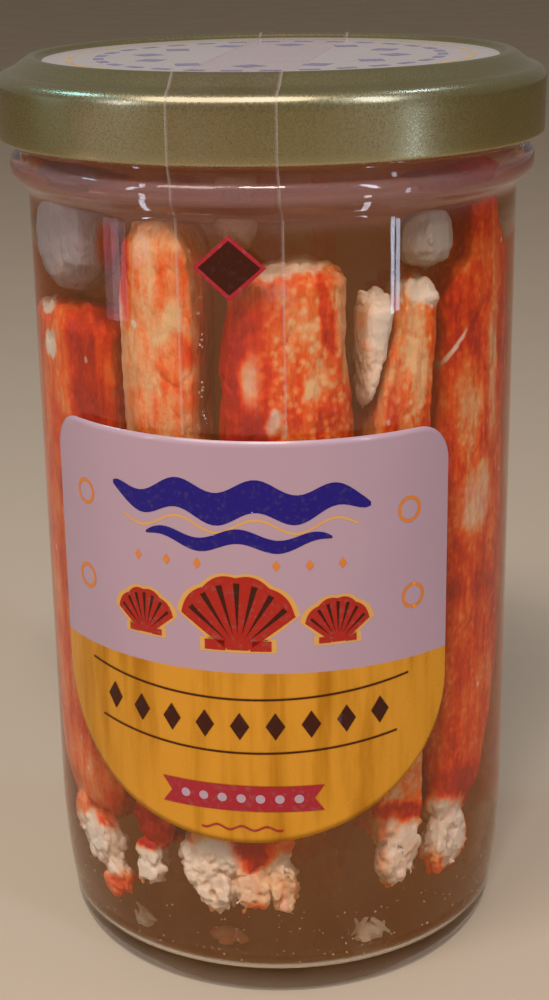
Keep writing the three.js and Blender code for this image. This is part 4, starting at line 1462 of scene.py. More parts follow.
@dataclass
class CrabMeat:
    """All the meat in the jar, grown from its solids into torn, fibrous flesh."""

    reach_limit: float = 36.0
    shown_from: float = 25.0
    smooth_passes: int = 4
    marks: tuple[Mark, ...] = MeatMarks.ALL
    parts: tuple[Flesh, ...] = FLESH
    flake_shape: FlakeShape = FlakeShape()
    relief: Relief = Relief()
    colouring: Colouring = Colouring()
    materials: dict[tuple[Slot, Bleach], Material] = field(default_factory=dict)

    def finish(self, slot: Slot, bleach: Bleach = Bleach.TORN) -> Material:
        """The material of a slot with one kind of bleached flesh, made once.

        Args:
            slot: The slot.
            bleach: The colour of flesh that has lost its skin.

        Returns:
            The material.
        """
        key = (slot, bleach)
        if key not in self.materials:
            name = f"{slot.value}_{bleach.name.lower()}"
            self.materials[key] = CrabFlesh(name, bleach.value).material()
        return self.materials[key]

    def flake(
        self, rng: np.random.Generator, place: np.ndarray, normal: np.ndarray, loose: float
    ) -> np.ndarray:
        """The points of a small torn flake, or of a hanging strand, half out of a surface.

        Args:
            rng: The source of its chance draws.
            place: Where it lies, in millimetres.
            normal: The way the surface faces there.
            loose: The share of strands.

        Returns:
            Its points, one for each point of a unit ball.
        """
        shape = self.flake_shape
        hanging = rng.random() < loose
        along = rng.normal(size=3) - np.array([0.0, 0.0, shape.droop * hanging])
        along -= normal * (along @ normal) * shape.lie_flat
        along /= np.linalg.norm(along)
        side = np.cross(normal, along)
        side /= np.linalg.norm(side)
        size = rng.uniform(shape.flake_least, shape.flake_most)
        if hanging:
            size = rng.uniform(shape.strand_least, shape.strand_most)
        ball = ROUND_BALL.points * (1 + rng.normal(size=(len(ROUND_BALL.points), 1)) * shape.uneven)
        axes = np.stack([along, side, np.cross(along, side)])
        return place + normal * size[2] * shape.stand_out + ball @ (axes * size[:, None])

    def with_flakes(self, part: Flesh, solid: Piece) -> Piece:
        """Copies a solid and hangs torn flakes round its foot and its crown.

        Args:
            part: How the solid is dressed.
            solid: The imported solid.

        Returns:
            The copy, with the flakes as loose bodies that overlap it.
        """
        rng = np.random.default_rng(part.seed)
        vertices = points_of(solid)
        faces = [list(p.vertices) for p in solid.data.polygons]
        middles = np.array([vertices[f].mean(axis=0) for f in faces])
        normals = np.array([list(p.normal) for p in solid.data.polygons])
        area = np.array([p.area for p in solid.data.polygons])
        low, high = vertices[:, 2].min(), vertices[:, 2].max()
        groups = (
            (middles[:, 2] < low + part.torn, part.flakes, self.flake_shape.strands_at_foot),
            (middles[:, 2] > high - self.flake_shape.crown, part.top_flakes, 0.0),
        )
        points, count = [vertices], len(vertices)
        for chosen, number, loose in groups:
            share = area * chosen
            if not number or share.sum() == 0:
                continue
            for pick in rng.choice(len(area), number, p=share / share.sum()):
                corners = vertices[faces[pick][:3]]
                spread = rng.dirichlet((1, 1, 1)) @ corners
                points.append(self.flake(rng, spread, normals[pick], loose))
                faces += [[v + count for v in face] for face in ROUND_BALL.faces]
                count += len(ROUND_BALL.points)
        return new_piece(part.node + "_raw", np.concatenate(points), faces)

    def roughen(self, part: Flesh, piece: Piece) -> None:
        """Raises bundles, fibres and tears on a fused piece, and keeps it off the glass.

        Args:
            part: How the piece is dressed.
            piece: Its fused skin.
        """
        points, normals = points_of(piece), normals_of(piece)
        grain, relief = Grain(part.seed), self.relief
        low = points[:, 2].min()
        loose = smooth_step(-points[:, 2], -low - part.torn, -low - part.torn * relief.foot_share)
        bundle = relief.bundle_height * relief.bundle.over(grain, points)
        fibre = relief.fibre_height * relief.fibre.over(grain, points)
        lump = relief.lump_height * relief.lump.over(grain, points)
        tear = np.abs(relief.tear.over(grain, points))
        height = (1 - loose) * (bundle + fibre) + lump + relief.lift
        crumble = relief.crumble.over(grain, points)
        height += (relief.crumble_height + relief.torn_crumble * loose) * crumble
        height -= relief.tear_depth * smooth_step(relief.tear_width - tear, 0.0, relief.tear_width)
        points = points + normals * (height * part.rough)[:, None]
        reach = np.hypot(points[:, 0], points[:, 1])
        points[:, :2] *= (np.minimum(reach, self.reach_limit) / np.maximum(reach, 1e-6))[:, None]
        crown = 1 - np.clip(reach / relief.floor_reach, 0, 1)
        points[:, 2] = np.maximum(points[:, 2], relief.floor_z + relief.floor_crown * crown)
        put_points(piece, points)

    def paint_colours(self, part: Flesh, piece: Piece) -> None:
        """Keeps the skin and the bleached flesh of a piece for its material.

        Args:
            part: How the piece is dressed.
            piece: Its finished skin.
        """
        points, look = points_of(piece), self.colouring
        grain = Grain(part.seed + look.seed_step)
        reach = np.hypot(points[:, 0], points[:, 1])
        azimuth = np.degrees(np.arctan2(points[:, 0], -points[:, 1]))
        low, high = points[:, 2].min(), points[:, 2].max()
        warp = look.warp.over(grain, points)
        drift = look.drift.over(grain, points)
        streak = look.streak.over(grain, points)
        from_end = np.minimum(points[:, 2] - low, look.crown_haste * (high - points[:, 2]))
        from_end = from_end + look.end_drift * drift
        torn = smooth_step(-from_end, -part.torn, -part.torn * look.end_share)
        values = {
            "skin": np.full(len(points), part.skin),
            "pale": np.maximum(part.pale, part.ends * torn),
            "beads": np.full(len(points), part.beads),
        }
        shown = smooth_step(reach, self.shown_from, self.shown_from + look.shown_blend)
        for mark in self.marks:
            rise = points[:, 2] - mark.z
            aside = np.radians(azimuth - mark.azimuth - mark.lean * rise) * self.reach_limit
            side = (aside + look.mark_warp * warp) / mark.half_width
            up = (rise + look.mark_drift * drift) / mark.half_height
            power = look.mark_power
            far = (np.abs(side) ** power + np.abs(up) ** power) ** (1 / power)
            share = smooth_step(-far, -1.0 - mark.edge, -1.0 + mark.edge) * shown
            for name in values:
                target = getattr(mark, name)
                if target is not None:
                    values[name] = values[name] + (target - values[name]) * share
        bead = 1 - smooth_step(cell_distance(points, look.bead_size, part.seed), *look.bead_span)
        fleck = cell_distance(points + look.fleck_shift, look.fleck_size, part.seed + look.fleck_seed_step)
        fleck = 1 - smooth_step(fleck, *look.fleck_span)
        skin = values["skin"] + part.stripes * streak + look.skin_drift * drift
        skin = skin + values["beads"] * (look.bead_lift - look.bead_depth * bead)
        pale = values["pale"] + look.pale_warp * warp * (values["pale"] > look.pale_least)
        pale = pale + look.fleck_share * fleck
        paint(piece, "skin", np.clip(skin, 0, look.most))
        paint(piece, "pale", np.clip(pale, 0, look.most))

    def build(self) -> list[Piece]:
        """Builds and dresses all the meat.

        Returns:
            The pieces.
        """
        pieces = []
        for part in self.parts:
            raw = self.with_flakes(part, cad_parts[part.node])
            piece = fused(part.node + "_flesh", raw, part.voxel, self.smooth_passes)
            self.roughen(part, piece)
            self.paint_colours(part, piece)
            settle(piece, Body.JAR, part.slot, self.finish(part.slot, part.bleach), part.node)
            pieces.append(piece)
        return pieces


@dataclass
class Crumbs:
    """Loose specks of flesh and small bubbles in the brine, near the glass."""

    seed: int = 7
    specks: int = 150
    speck_size: Point = (0.07, 0.24)
    speck_flat: float = 0.6
    speck_skin: float = 0.2
    speck_pale: float = 0.8
    bubbles: int = 15
    bubble_size: Point = (0.1, 0.26)
    bubble_azimuth: float = -7.6

    def scattered(
        self, rng: np.random.Generator, name: str, places: Sequence[np.ndarray], size: Point, flat: float
    ) -> Piece:
        """Small uneven balls at many places, joined into one piece.

        Args:
            rng: The source of its chance draws.
            name: The piece's name.
            places: Their middles, in millimetres.
            size: The least and the greatest radius, in millimetres.
            flat: How much some of them are squashed, from 0 to 1.

        Returns:
            The new object.
        """
        points, faces, count = [], [], 0
        for place in places:
            scale = rng.uniform(*size) * (1 - flat * rng.random(3))
            uneven = 1 + rng.normal(size=(len(ROUND_BALL.points), 1)) * 0.2 * flat
            points.append(place + ROUND_BALL.points * scale * uneven)
            faces += [[v + count for v in face] for face in ROUND_BALL.faces]
            count += len(ROUND_BALL.points)
        return new_piece(name, np.concatenate(points), faces)

    def build(self, meat: CrabMeat) -> None:
        """Builds and dresses the specks and the bubbles.

        Args:
            meat: The meat, for its material.
        """
        rng = np.random.default_rng(self.seed)
        near = [
            polar(rng.uniform(29.0, 35.2), rng.uniform(-75, 85), 5.8 + 9.0 * rng.random() ** 1.5)
            for _ in range(self.specks)
        ]
        specks = self.scattered(rng, "brine_specks", near, self.speck_size, self.speck_flat)
        for name, value in (("skin", self.speck_skin), ("pale", self.speck_pale)):
            paint(specks, name, np.full(len(specks.data.vertices), value))
        settle(specks, Body.JAR, Slot.WHITE_FLESH, meat.finish(Slot.WHITE_FLESH))
        gap = [
            polar(rng.uniform(34.6, 35.6), rng.normal(self.bubble_azimuth, 0.5), rng.uniform(96, 116))
            for _ in range(self.bubbles)
        ]
        bubbles = self.scattered(rng, "brine_bubbles", gap, self.bubble_size, 0.0)
        settle(bubbles, Body.JAR, Slot.BRINE, AirBubble().material())


# Printed shapes


Outline = list[Point]


class Ink(Enum):
    """The inks, each with its piece's name and its colour."""

    NAVY = ("navy", (0.020, 0.018, 0.17))
    GOLD = ("gold", (0.62, 0.33, 0.10))
    ORANGE = ("orange", (0.62, 0.20, 0.05))
    RED = ("red", (0.36, 0.028, 0.026))
    DARK = ("dark", (0.045, 0.014, 0.014))
    ROSE = ("rose", (0.34, 0.035, 0.05))
    PALE = ("pale", (0.42, 0.30, 0.36))


@dataclass(frozen=True)
class Wave:
    """A line across a print: its height, how far and how fast it waves, and how it bows."""

    height: float
    rise: float = 0.0
    pace: float = 0.52
    start: float = 0.0
    bow: float = 0.0

    def at(self, across: float) -> float:
        """Its height at a place across."""
        return self.height + self.bow * across**2 + self.rise * math.sin(across * self.pace + self.start)


@dataclass(frozen=True)
class Taper:
    """Half the width of a band: least at its ends, and fuller towards its middle."""

    least: float
    fuller: float = 0.0
    reach: float = 1.0

    def at(self, across: float) -> float:
        """Half the band's width at a place across."""
        return self.fuller * math.sqrt(max(0.0, 1 - (across / self.reach) ** 2)) + self.least


def ribbon_of(middle: Wave, half: Taper, reach: float, steps: int = 49) -> Outline:
    """A band that follows a wave.

    Args:
        middle: The line it follows.
        half: Half its width along that line.
        reach: How far it runs to either side.
        steps: How many points each of its edges has.

    Returns:
        Its outline, from its lower edge round to its upper edge.
    """
    places = np.linspace(-reach, reach, steps)
    low = [(float(x), middle.at(x) - half.at(x)) for x in places]
    high = [(float(x), middle.at(x) + half.at(x)) for x in places[::-1]]
    return low + high


def on_ring(radius: float, turn: float) -> Point:
    """A place at a radius from the middle, in the direction of a turn in radians."""
    return (radius * math.cos(turn), radius * math.sin(turn))


def many_sided(middle: Point, size: Point, sides: int, turn: float = 0.0) -> Outline:
    """An even shape with many sides, such as a dot or a lozenge."""
    turns = [2 * math.pi * i / sides + turn for i in range(sides)]
    return [(middle[0] + size[0] * math.cos(a), middle[1] + size[1] * math.sin(a)) for a in turns]


def hoop(middle: Point, size: Point, width: float, sides: int, turn: float = 0.0) -> list[Outline]:
    """The outline of an even shape, drawn as a line in short runs.

    Args:
        middle: The middle of the shape.
        size: Its reach across and up.
        width: The width of the line.
        sides: How many sides the shape has.
        turn: How far its first corner is turned, in radians.

    Returns:
        The outline of each run.
    """
    outer = many_sided(middle, size, sides, turn)
    inner = many_sided(middle, (size[0] - width, size[1] - width), sides, turn)
    runs = zip(outer, outer[1:] + outer[:1], inner[1:] + inner[:1], inner)
    return [list(run) for run in runs]


@dataclass(frozen=True)
class Scallop:
    """A scallop shell that stands on its hinge, with angles counted in degrees from its right."""

    middle: Point
    width: float
    height: float
    fan_start: float = 152.0
    fan_turn: float = 124.0
    fan_steps: int = 90
    wave_rise: float = 0.045
    wave_pace: float = 8.1
    hinge_half: float = 0.09
    rib_start: float = 142.0
    rib_turn: float = 104.0
    rib_count: int = 7
    rib_span: Point = (0.2, 0.93)
    rib_half: float = 0.028

    def stretch(self, swell: float = 0.0) -> float:
        """How much the fan is widened to reach its width."""
        edge = math.radians(self.fan_start - self.fan_turn)
        return (self.width / 2 + swell) / (self.height * math.cos(edge))

    def outlines(self, swell: float = 0.0) -> list[Outline]:
        """The fan and the two ears.

        Args:
            swell: How much larger than the shell they are drawn on every side.

        Returns:
            Their outlines.
        """
        x, z = self.middle
        fan: Outline = []
        for i in range(self.fan_steps + 1):
            a = math.radians(self.fan_start - self.fan_turn * i / self.fan_steps)
            wave = 1 + self.wave_rise * abs(math.sin(math.radians(self.wave_pace * i)))
            reach = self.height * wave + swell
            fan.append((x + reach * math.cos(a) * self.stretch(swell), z + reach * math.sin(a)))
        for side in (1, -1):
            fan.append((x + side * (self.hinge_half * self.width + swell), z - swell))
        ears = [(x + side * (0.2 * self.width + swell), z + 0.06 * self.height) for side in (1, -1)]
        ear_size = (0.13 * self.width + swell, 0.10 * self.height + swell)
        return [fan[::-1], *[many_sided(ear, ear_size, 4, math.pi / 4) for ear in ears]]

    def ribs(self) -> list[Outline]:
        """The dark ribs that fan out over the shell.

        Returns:
            The outline of each rib.
        """
        ribs = []
        for i in range(self.rib_count):
            a = math.radians(self.rib_start - self.rib_turn * i / (self.rib_count - 1))
            way = np.array([math.cos(a) * self.stretch(), math.sin(a)])
            side = np.array([-way[1], way[0]]) * self.rib_half * self.width
            foot, head = (np.array(self.middle) + way * self.height * share for share in self.rib_span)
            ribs.append([tuple(foot), tuple(head - side), tuple(head + side)])
        return ribs


class Wrap(Protocol):
    """Lays flat places on a curved or flat face."""

    def __call__(self, across: np.ndarray, up: np.ndarray) -> np.ndarray:
        """Gives the places in space."""


def printed(name: str, outlines: Sequence[Outline], wrap: Wrap, step: float = 1.4) -> Piece:
    """Cuts flat shapes into narrow strips and lays them on a face.

    Args:
        name: The piece's name.
        outlines: The shapes, across and up, in millimetres.
        wrap: Lays flat places on the face.
        step: The widest strip, in millimetres.

    Returns:
        The new object.
    """
    mesh = bmesh.new()
    for outline in outlines:
        places = [Vector((x, z, 0.0)) for x, z in outline]
        corners = [mesh.verts.new(place) for place in places]
        for triangle in tessellate_polygon([places]):
            a, b, c = (places[i] for i in triangle)
            order = triangle if (b - a).cross(c - a).z > 0 else triangle[::-1]
            if abs((b - a).cross(c - a).z) > 1e-9:
                mesh.faces.new([corners[i] for i in order])
    low = min(v.co.x for v in mesh.verts)
    high = max(v.co.x for v in mesh.verts)
    for cut in np.arange(low + step, high, step):
        everything = [*mesh.verts, *mesh.edges, *mesh.faces]
        bmesh.ops.bisect_plane(mesh, geom=everything, plane_co=(cut, 0, 0), plane_no=(1, 0, 0))
    mesh.verts.index_update()
    flat = np.array([list(v.co) for v in mesh.verts])
    faces = [[v.index for v in face.verts] for face in mesh.faces]
    mesh.free()
    return new_piece(name, wrap(flat[:, 0], flat[:, 1]), faces)


# The label


@dataclass
class Label:
    """The curved front label, on which LabelPrint lays the printed ornaments."""

    jar: GlassJar
    half_width: float = 34.6
    top: float = 95.5
    corner: float = 6.0
    bowl_z: float = 54.3
    bowl_depth: float = 24.5
    lift: float = 0.03
    thick: float = 0.11
    columns: int = 120
    rows: int = 60

    def top_at(self, across: np.ndarray) -> np.ndarray:
        """The height of the top edge."""
        over = np.maximum(0, np.abs(across) - (self.half_width - self.corner))
        return self.top - self.corner + np.sqrt(np.maximum(0, self.corner**2 - over**2))

    def bottom_at(self, across: np.ndarray) -> np.ndarray:
        """The height of the bottom edge."""
        bowl = np.sqrt(np.maximum(0, 1 - (across / self.half_width) ** 2))
        return self.bowl_z - self.bowl_depth * bowl

    def wrap(self, across: np.ndarray, z: np.ndarray, out: float) -> np.ndarray:
        """Lays flat places on the glass, a distance out from it.

        Args:
            across: How far round the glass they lie, in millimetres.
            z: Their heights.
            out: How far out from the glass they lie.

        Returns:
            The places in space.
        """
        radius = self.jar.body_radius + out
        turn = across / self.jar.body_radius
        return np.stack([radius * np.sin(turn), -radius * np.cos(turn), z], axis=-1)

    def build(self) -> Piece:
        """Builds and dresses the label.

        Returns:
            The label.
        """
        spread = np.sin(np.linspace(-math.pi / 2, math.pi / 2, self.columns + 1))
        across = np.repeat(self.half_width * spread[None, :], self.rows + 1, axis=0)
        rise = np.linspace(0, 1, self.rows + 1)[:, None]
        z = self.bottom_at(across) * (1 - rise) + self.top_at(across) * rise
        outer = self.wrap(across, z, self.lift + self.thick)
        inner = self.wrap(across, z, self.lift)
        sheet = curved_sheet("label_sheet", outer, inner)
        return settle(sheet, Body.JAR, Slot.LABEL, LabelPaper().material(), "label")


@dataclass
class LabelPrint:
    """The ornaments on the label: waves, shells and small shapes, with no lettering."""

    label: Label
    lift: float = 0.02
    layer: float = 0.012
    rim: float = 0.45
    thin: Taper = Taper(0.16)
    wave: Wave = Wave(86.0, 1.1)
    small_wave: Wave = Wave(80.0, 0.8, start=1.4)
    gold_line: Wave = Wave(82.3, 1.1)
    upper_rule: Wave = Wave(54.4, bow=0.0028)
    lower_rule: Wave = Wave(45.4, bow=0.0028)
    lozenge_row: Wave = Wave(49.9, bow=0.0028)
    foot_line: Wave = Wave(32.4, 0.35, 1.6, math.pi / 2)
    hoops: tuple[Point, ...] = ((-27.0, 84.0), (27.0, 83.0), (-27.5, 70.0), (27.8, 69.0))
    scallops: tuple[Scallop, ...] = (
        Scallop((0.0, 62.6), 17.5, 11.6),
        Scallop((-15.2, 63.6), 10.0, 7.0),
        Scallop((15.2, 63.6), 10.0, 7.0),
    )
    banner: tuple[Point, ...] = (
        (-13.0, 35.4), (13.0, 35.4), (11.4, 37.6), (13.0, 39.8), (-13.0, 39.8), (-11.4, 37.6),
    )
    seal: Point = (0.0, 120.8)

    def shapes(self) -> list[tuple[Ink, list[Outline]]]:
        """The label's shapes by ink, from the lowest layer up.

        Returns:
            Each layer, as an ink and its outlines.
        """
        glow = [part for scallop in self.scallops for part in scallop.outlines(self.rim)]
        row = [(x, self.lozenge_row.at(x)) for x in np.arange(-22, 23, 5.5)]
        return [
            (Ink.GOLD, [*glow, ribbon_of(self.gold_line, Taper(0.2), 18.5)]),
            (Ink.ORANGE, [part for place in self.hoops for part in hoop(place, (2.1, 2.1), 0.55, 20)]),
            (Ink.ORANGE, [many_sided((x, 76.2), (0.62, 0.9), 4) for x in (-16, -11, -6, 6, 11, 16)]),
            (Ink.NAVY, [
                ribbon_of(self.wave, Taper(0.05, 2.5, 20.5), 20.4),
                ribbon_of(self.small_wave, Taper(0.03, 1.1, 14.5), 14.4),
            ]),
            (Ink.RED, [part for scallop in self.scallops for part in scallop.outlines()]),
            (Ink.DARK, [rib for scallop in self.scallops for rib in scallop.ribs()]),
            (Ink.DARK, [
                ribbon_of(self.upper_rule, self.thin, 27),
                ribbon_of(self.lower_rule, self.thin, 25),
                *[many_sided(place, (1.5, 2.3), 4) for place in row],
            ]),
            (Ink.ROSE, [list(self.banner), ribbon_of(self.foot_line, self.thin, 6.5)]),
            (Ink.PALE, [many_sided((x, 37.6), (0.75, 0.75), 14) for x in np.arange(-9, 9.1, 3.0)]),
        ]

    def seal_shapes(self) -> list[tuple[Ink, list[Outline]]]:
        """The lozenge on the tape by ink, from the lowest layer up.

        Returns:
            Each layer, as an ink and its outlines.
        """
        return [
            (Ink.ROSE, [many_sided(self.seal, (5.3, 4.7), 4)]),
            (Ink.DARK, [many_sided(self.seal, (4.5, 3.9), 4)]),
        ]

    def build(self) -> None:
        """Builds and dresses the ornaments."""
        finishes = {ink: PrintedInk("ink_" + ink.value[0], ink.value[1]).material() for ink in Ink}
        on_label = self.label.lift + self.label.thick + self.lift
        on_tape = SealTape.lift + SealTape.thick + self.lift
        prints = (
            ("label_print_{0}_{1}", on_label, self.shapes()),
            ("tape_print_{1}", on_tape, self.seal_shapes()),
        )
        for pattern, base, shapes in prints:
            for number, (ink, outlines) in enumerate(shapes):
                name = pattern.format(number, ink.value[0])
                wrap = partial(self.label.wrap, out=base + number * self.layer)
                settle(printed(name, outlines, wrap), Body.JAR, Slot.INK, finishes[ink])


# The seal tape


@dataclass
class SealTape:
    """The clear film over the lid and down the front and back of the jar."""

    jar: GlassJar
    lid: "Lid"
    width: float = 15.6
    lift: float = 0.05
    thick: float = 0.09
    columns: int = 28
    front_low: float = 96.0
    back_low: float = 96.2
    part_z: float = 135.2
    edge_width: float = 0.3
    edge_blur: float = 0.25

    def __post_init__(self) -> None:
        """Makes the film's material."""
        self.film = ClearFilm().material()

    def face(self, path: np.ndarray, side: float, out: float) -> np.ndarray:
        """One face of the tape along a path of radius and height.

        Args:
            path: The path's points.
            side: -1 on the front and 1 on the back.
            out: How far the face stands off the path.

        Returns:
            The face's points, as rows by columns by 3.
        """
        step = np.gradient(path, axis=0)
        step /= np.linalg.norm(step, axis=1, keepdims=True)
        moved = path + np.stack([step[:, 1], -step[:, 0]], axis=1) * out
        x = np.linspace(-0.5, 0.5, self.columns + 1) * self.width * -side
        depth = np.sqrt(np.maximum(0, moved[:, :1] ** 2 - x[None, :] ** 2)) * side
        x = np.repeat(x[None, :], len(moved), axis=0)
        z = np.repeat(moved[:, 1:], self.columns + 1, axis=1)
        return np.stack([x, depth, z], axis=-1)

    def strip(
        self, name: str, faces: Callable[[float], np.ndarray], body: Body, node: str
    ) -> Piece:
        """Makes one stretch of tape and marks its edges.

        Args:
            name: The piece's name.
            faces: Gives a face's points from its distance off the path.
            body: The body it rides on.
            node: The CAD node it replaces.

        Returns:
            The new piece.
        """
        outer, inner = faces(self.lift + self.thick), faces(self.lift)
        piece = curved_sheet(name, outer, inner)
        x = np.abs(points_of(piece)[:, 0])
        start = self.width / 2 - self.edge_width
        paint(piece, "edge", smooth_step(x, start, start + self.edge_blur))
        return settle(piece, body, Slot.FILM, self.film, node)

    def build(self) -> list[Piece]:
        """Builds and dresses the three stretches.

        Returns:
            The pieces.
        """
        jar, lid = self.jar, self.lid
        outer = np.array(rounded(jar.outer_corners(), longest=0.6))
        rising = outer[(outer[:, 1] < jar.bead_span[1] - 0.2) & (outer[:, 0] > jar.body_radius - 0.01)]
        turn_z = jar.wall_end - 1.5
        bridge = np.array([[lid.radius - 0.25, self.part_z]])
        pieces = []
        for side, low, name in ((-1.0, self.front_low, "front"), (1.0, self.back_low, "back")):
            lead = np.array([[jar.body_radius, z] for z in np.arange(low, turn_z, 1.0)])
            path = np.concatenate([lead, rising[rising[:, 1] > turn_z], bridge])
            faces = partial(self.face, path, side)
            pieces.append(self.strip("tape_" + name, faces, Body.JAR, "seal_tape_" + name))
        start = np.array([[lid.radius, z] for z in np.arange(self.part_z + 0.1, lid.shoulder, 0.5)])
        climb = np.concatenate([start, np.array(lid.crown_profile())])
        faces = partial(self.over_lid, climb)
        pieces.append(self.strip("tape_over_lid", faces, Body.LID, "seal_tape_lid"))
        return pieces

    def over_lid(self, climb: np.ndarray, out: float) -> np.ndarray:
        """One face of the tape from the lid's front edge over to its back edge.

        Args:
            climb: The path from the lid's edge to its panel, as points of radius and height.
            out: How far the face stands off the path.

        Returns:
            The face's points, as rows by columns by 3.
        """
        front = self.face(climb, -1.0, out)
        back = self.face(climb, 1.0, out)[::-1, ::-1]
        return np.concatenate([front, back])


# The lid


@dataclass
class Lid:
    """The pressed lid: skirt and curl, lugs, rounded shoulder, groove, rim and panel."""

    radius: float = 42.75
    sheet: float = 0.45
    bottom: float = 135.4
    shoulder: float = 143.4
    groove: Point = (40.7, 145.45)
    rim_radius: float = 37.2
    top: float = 147.6
    panel: Point = (36.0, 146.8)
    curl_depth: float = 1.3
    curl_height: float = 1.5
    lug_count: int = 6
    lug_reach: float = 0.4
    lug_width: float = 9.0
    lug_blend: float = 0.8
    sides: int = 240

    def shoulder_arc(self, steps: int = 9) -> list[Corner]:
        """The rounded shoulder, from the top of the skirt to the groove.

        Args:
            steps: How many steps it takes.

        Returns:
            Its corners.
        """
        reach, rise = self.radius - self.groove[0], self.groove[1] - self.shoulder
        turns = [math.pi / 2 * i / steps for i in range(steps + 1)]
        return [
            Corner(self.groove[0] + reach * math.cos(a), self.shoulder + rise * math.sin(a)) for a in turns
        ]

    def crown_corners(self) -> list[Corner]:
        """The outside from the top of the skirt to the panel.

        Returns:
            Its corners.
        """
        return [
            *self.shoulder_arc(),
            Corner(self.rim_radius + 0.55, self.top - 0.05, 0.8),
            Corner(self.rim_radius - 0.45, self.top, 0.5),
            Corner(self.panel[0], self.panel[1], 0.5),
        ]

    def crown_profile(self) -> Profile:
        """The rounded outside from the top of the skirt to the panel's edge."""
        return rounded([*self.crown_corners(), Corner(self.panel[0] - 2.0, self.panel[1])], 7, 0.8)

    def build(self) -> Piece:
        """Builds and dresses the lid.

        Returns:
            The lid.
        """
        outside = [Corner(self.radius, self.bottom, 0.5), *self.crown_corners(), Corner(0.0, self.panel[1])]
        t = self.sheet
        inside = [
            Corner(0.0, self.panel[1] - t),
            Corner(self.panel[0] - 0.2, self.panel[1] - t, 0.4),
            Corner(self.rim_radius - 0.4, self.top - t, 0.4),
            Corner(self.rim_radius + 0.45, self.top - t, 0.5),
            Corner(self.groove[0] - 0.3, self.groove[1] - t, 0.4),
            Corner(self.radius - t, self.groove[1] - t - 0.2, 1.5),
            Corner(self.radius - t, self.bottom + self.curl_height, 0.4),
            Corner(self.radius - self.curl_depth, self.bottom + self.curl_height - 0.2, 0.4),
            Corner(self.radius - self.curl_depth, self.bottom, 0.5),
        ]
        profile = rounded([*inside, *outside], 6, 1.2)
        pressed = turned("lid_shell_pressed", profile, self.sides, self.shaped)
        return settle(pressed, Body.LID, Slot.LACQUER, GoldLacquer().material(), "lid_shell")

    def shaped(self, angle: np.ndarray, radius: np.ndarray, height: np.ndarray) -> np.ndarray:
        """Presses the lugs out of the inside of the curl.

        Args:
            angle: The azimuths in radians.
            radius: The plain radii.
            height: The heights.

        Returns:
            The shaped radii.
        """
        pitch = 360 / self.lug_count
        off = (np.degrees(angle) % pitch) - pitch / 2
        half = math.degrees(self.lug_width / 2 / self.radius)
        lug = smooth_step(-np.abs(off), -half - self.lug_blend, -half + self.lug_blend)
        inner = (radius < self.radius - self.curl_depth + 0.25) & (height < self.bottom + self.curl_height)
        return radius - np.where(inner, lug * self.lug_reach, 0.0)


@dataclass
class LidPrint:
    """The pale printed panel of the lid, with faint rings of dashes and lozenges."""

    lid: Lid
    radius: float = 35.5
    lift: float = 0.02
    layer: float = 0.01
    lozenge_radius: float = 19.5
    lozenge_count: int = 12

    def dashes(self, radius: float, width: float, count: int, share: float) -> list[Outline]:
        """A ring of curved dashes.

        Args:
            radius: The radius of their inner edge, in millimetres.
            width: How wide they are, in millimetres.
            count: How many there are.
            share: How much of the ring they cover.

        Returns:
            Their outlines.
        """
        pitch = 2 * math.pi / count
        marks = []
        for i in range(count):
            turns = np.linspace(i * pitch, (i + share) * pitch, 6)
            outer = [on_ring(radius + width, a) for a in turns]
            inner = [on_ring(radius, a) for a in turns[::-1]]
            marks.append(outer + inner)
        return marks

    def build(self) -> None:
        """Builds and dresses the panel's print."""
        lozenges = [
            many_sided(on_ring(self.lozenge_radius, a), (2.6, 2.6), 4, a)
            for a in np.linspace(0, 2 * math.pi, self.lozenge_count, endpoint=False)
        ]
        pale = SatinPrint("panel_pale", (0.60, 0.53, 0.53), (0.54, 0.47, 0.48), 0.22, 0.15, 0.5)
        gold = PrintedInk("panel_gold", (0.52, 0.36, 0.16))
        navy = PrintedInk("panel_navy", (0.21, 0.19, 0.31))
        layers = (
            ("panel", pale, [many_sided((0.0, 0.0), (self.radius, self.radius), 120)]),
            ("gold", gold, self.dashes(31.0, 1.0, 24, 0.7)),
            ("navy", navy, self.dashes(26.0, 1.6, 30, 0.55) + lozenges),
        )
        for number, (name, finish, outlines) in enumerate(layers):
            wrap = partial(self.level, z=self.lid.panel[1] + self.lift + number * self.layer)
            piece = printed("lid_print_" + name, outlines, wrap, 5.0)
            settle(piece, Body.LID, Slot.LID_PRINT, finish.material())

    def level(self, across: np.ndarray, up: np.ndarray, z: float) -> np.ndarray:
        """Lays flat places on a level face at a height."""
        return np.stack([across, up, np.full(len(across), z)], axis=-1)


@dataclass
class SealRing:
    """The soft ring of sealing compound under the lid's rim."""

    jar: GlassJar
    lid: Lid
    inner: float = 35.9
    outer: float = 39.3
    lift: float = 0.3

    def build(self) -> Piece:
        """Builds and dresses the ring.

        Returns:
            The ring.
        """
        low = self.jar.rim_z + self.lift
        corners = [
            Corner(self.inner, low + 0.4, 0.2),
            Corner(self.inner, low, 0.2),
            Corner(self.outer, low, 0.2),
            Corner(self.outer, low + 0.35, 0.15),
            Corner(self.lid.rim_radius + 0.4, low + 1.6, 0.35),
            Corner(self.lid.rim_radius - 0.4, low + 1.6, 0.35),
            Corner(self.inner, low + 1.0, 0.2),
            Corner(self.inner, low + 0.4, 0.2),
        ]
        ring = turned("seal_ring_soft", rounded(corners, 4, 1.0)[:-1], 192, closed=True)
        return settle(ring, Body.SEAL_RING, Slot.SEAL, SoftCompound().material(), "lid_seal_ring")


# The studio


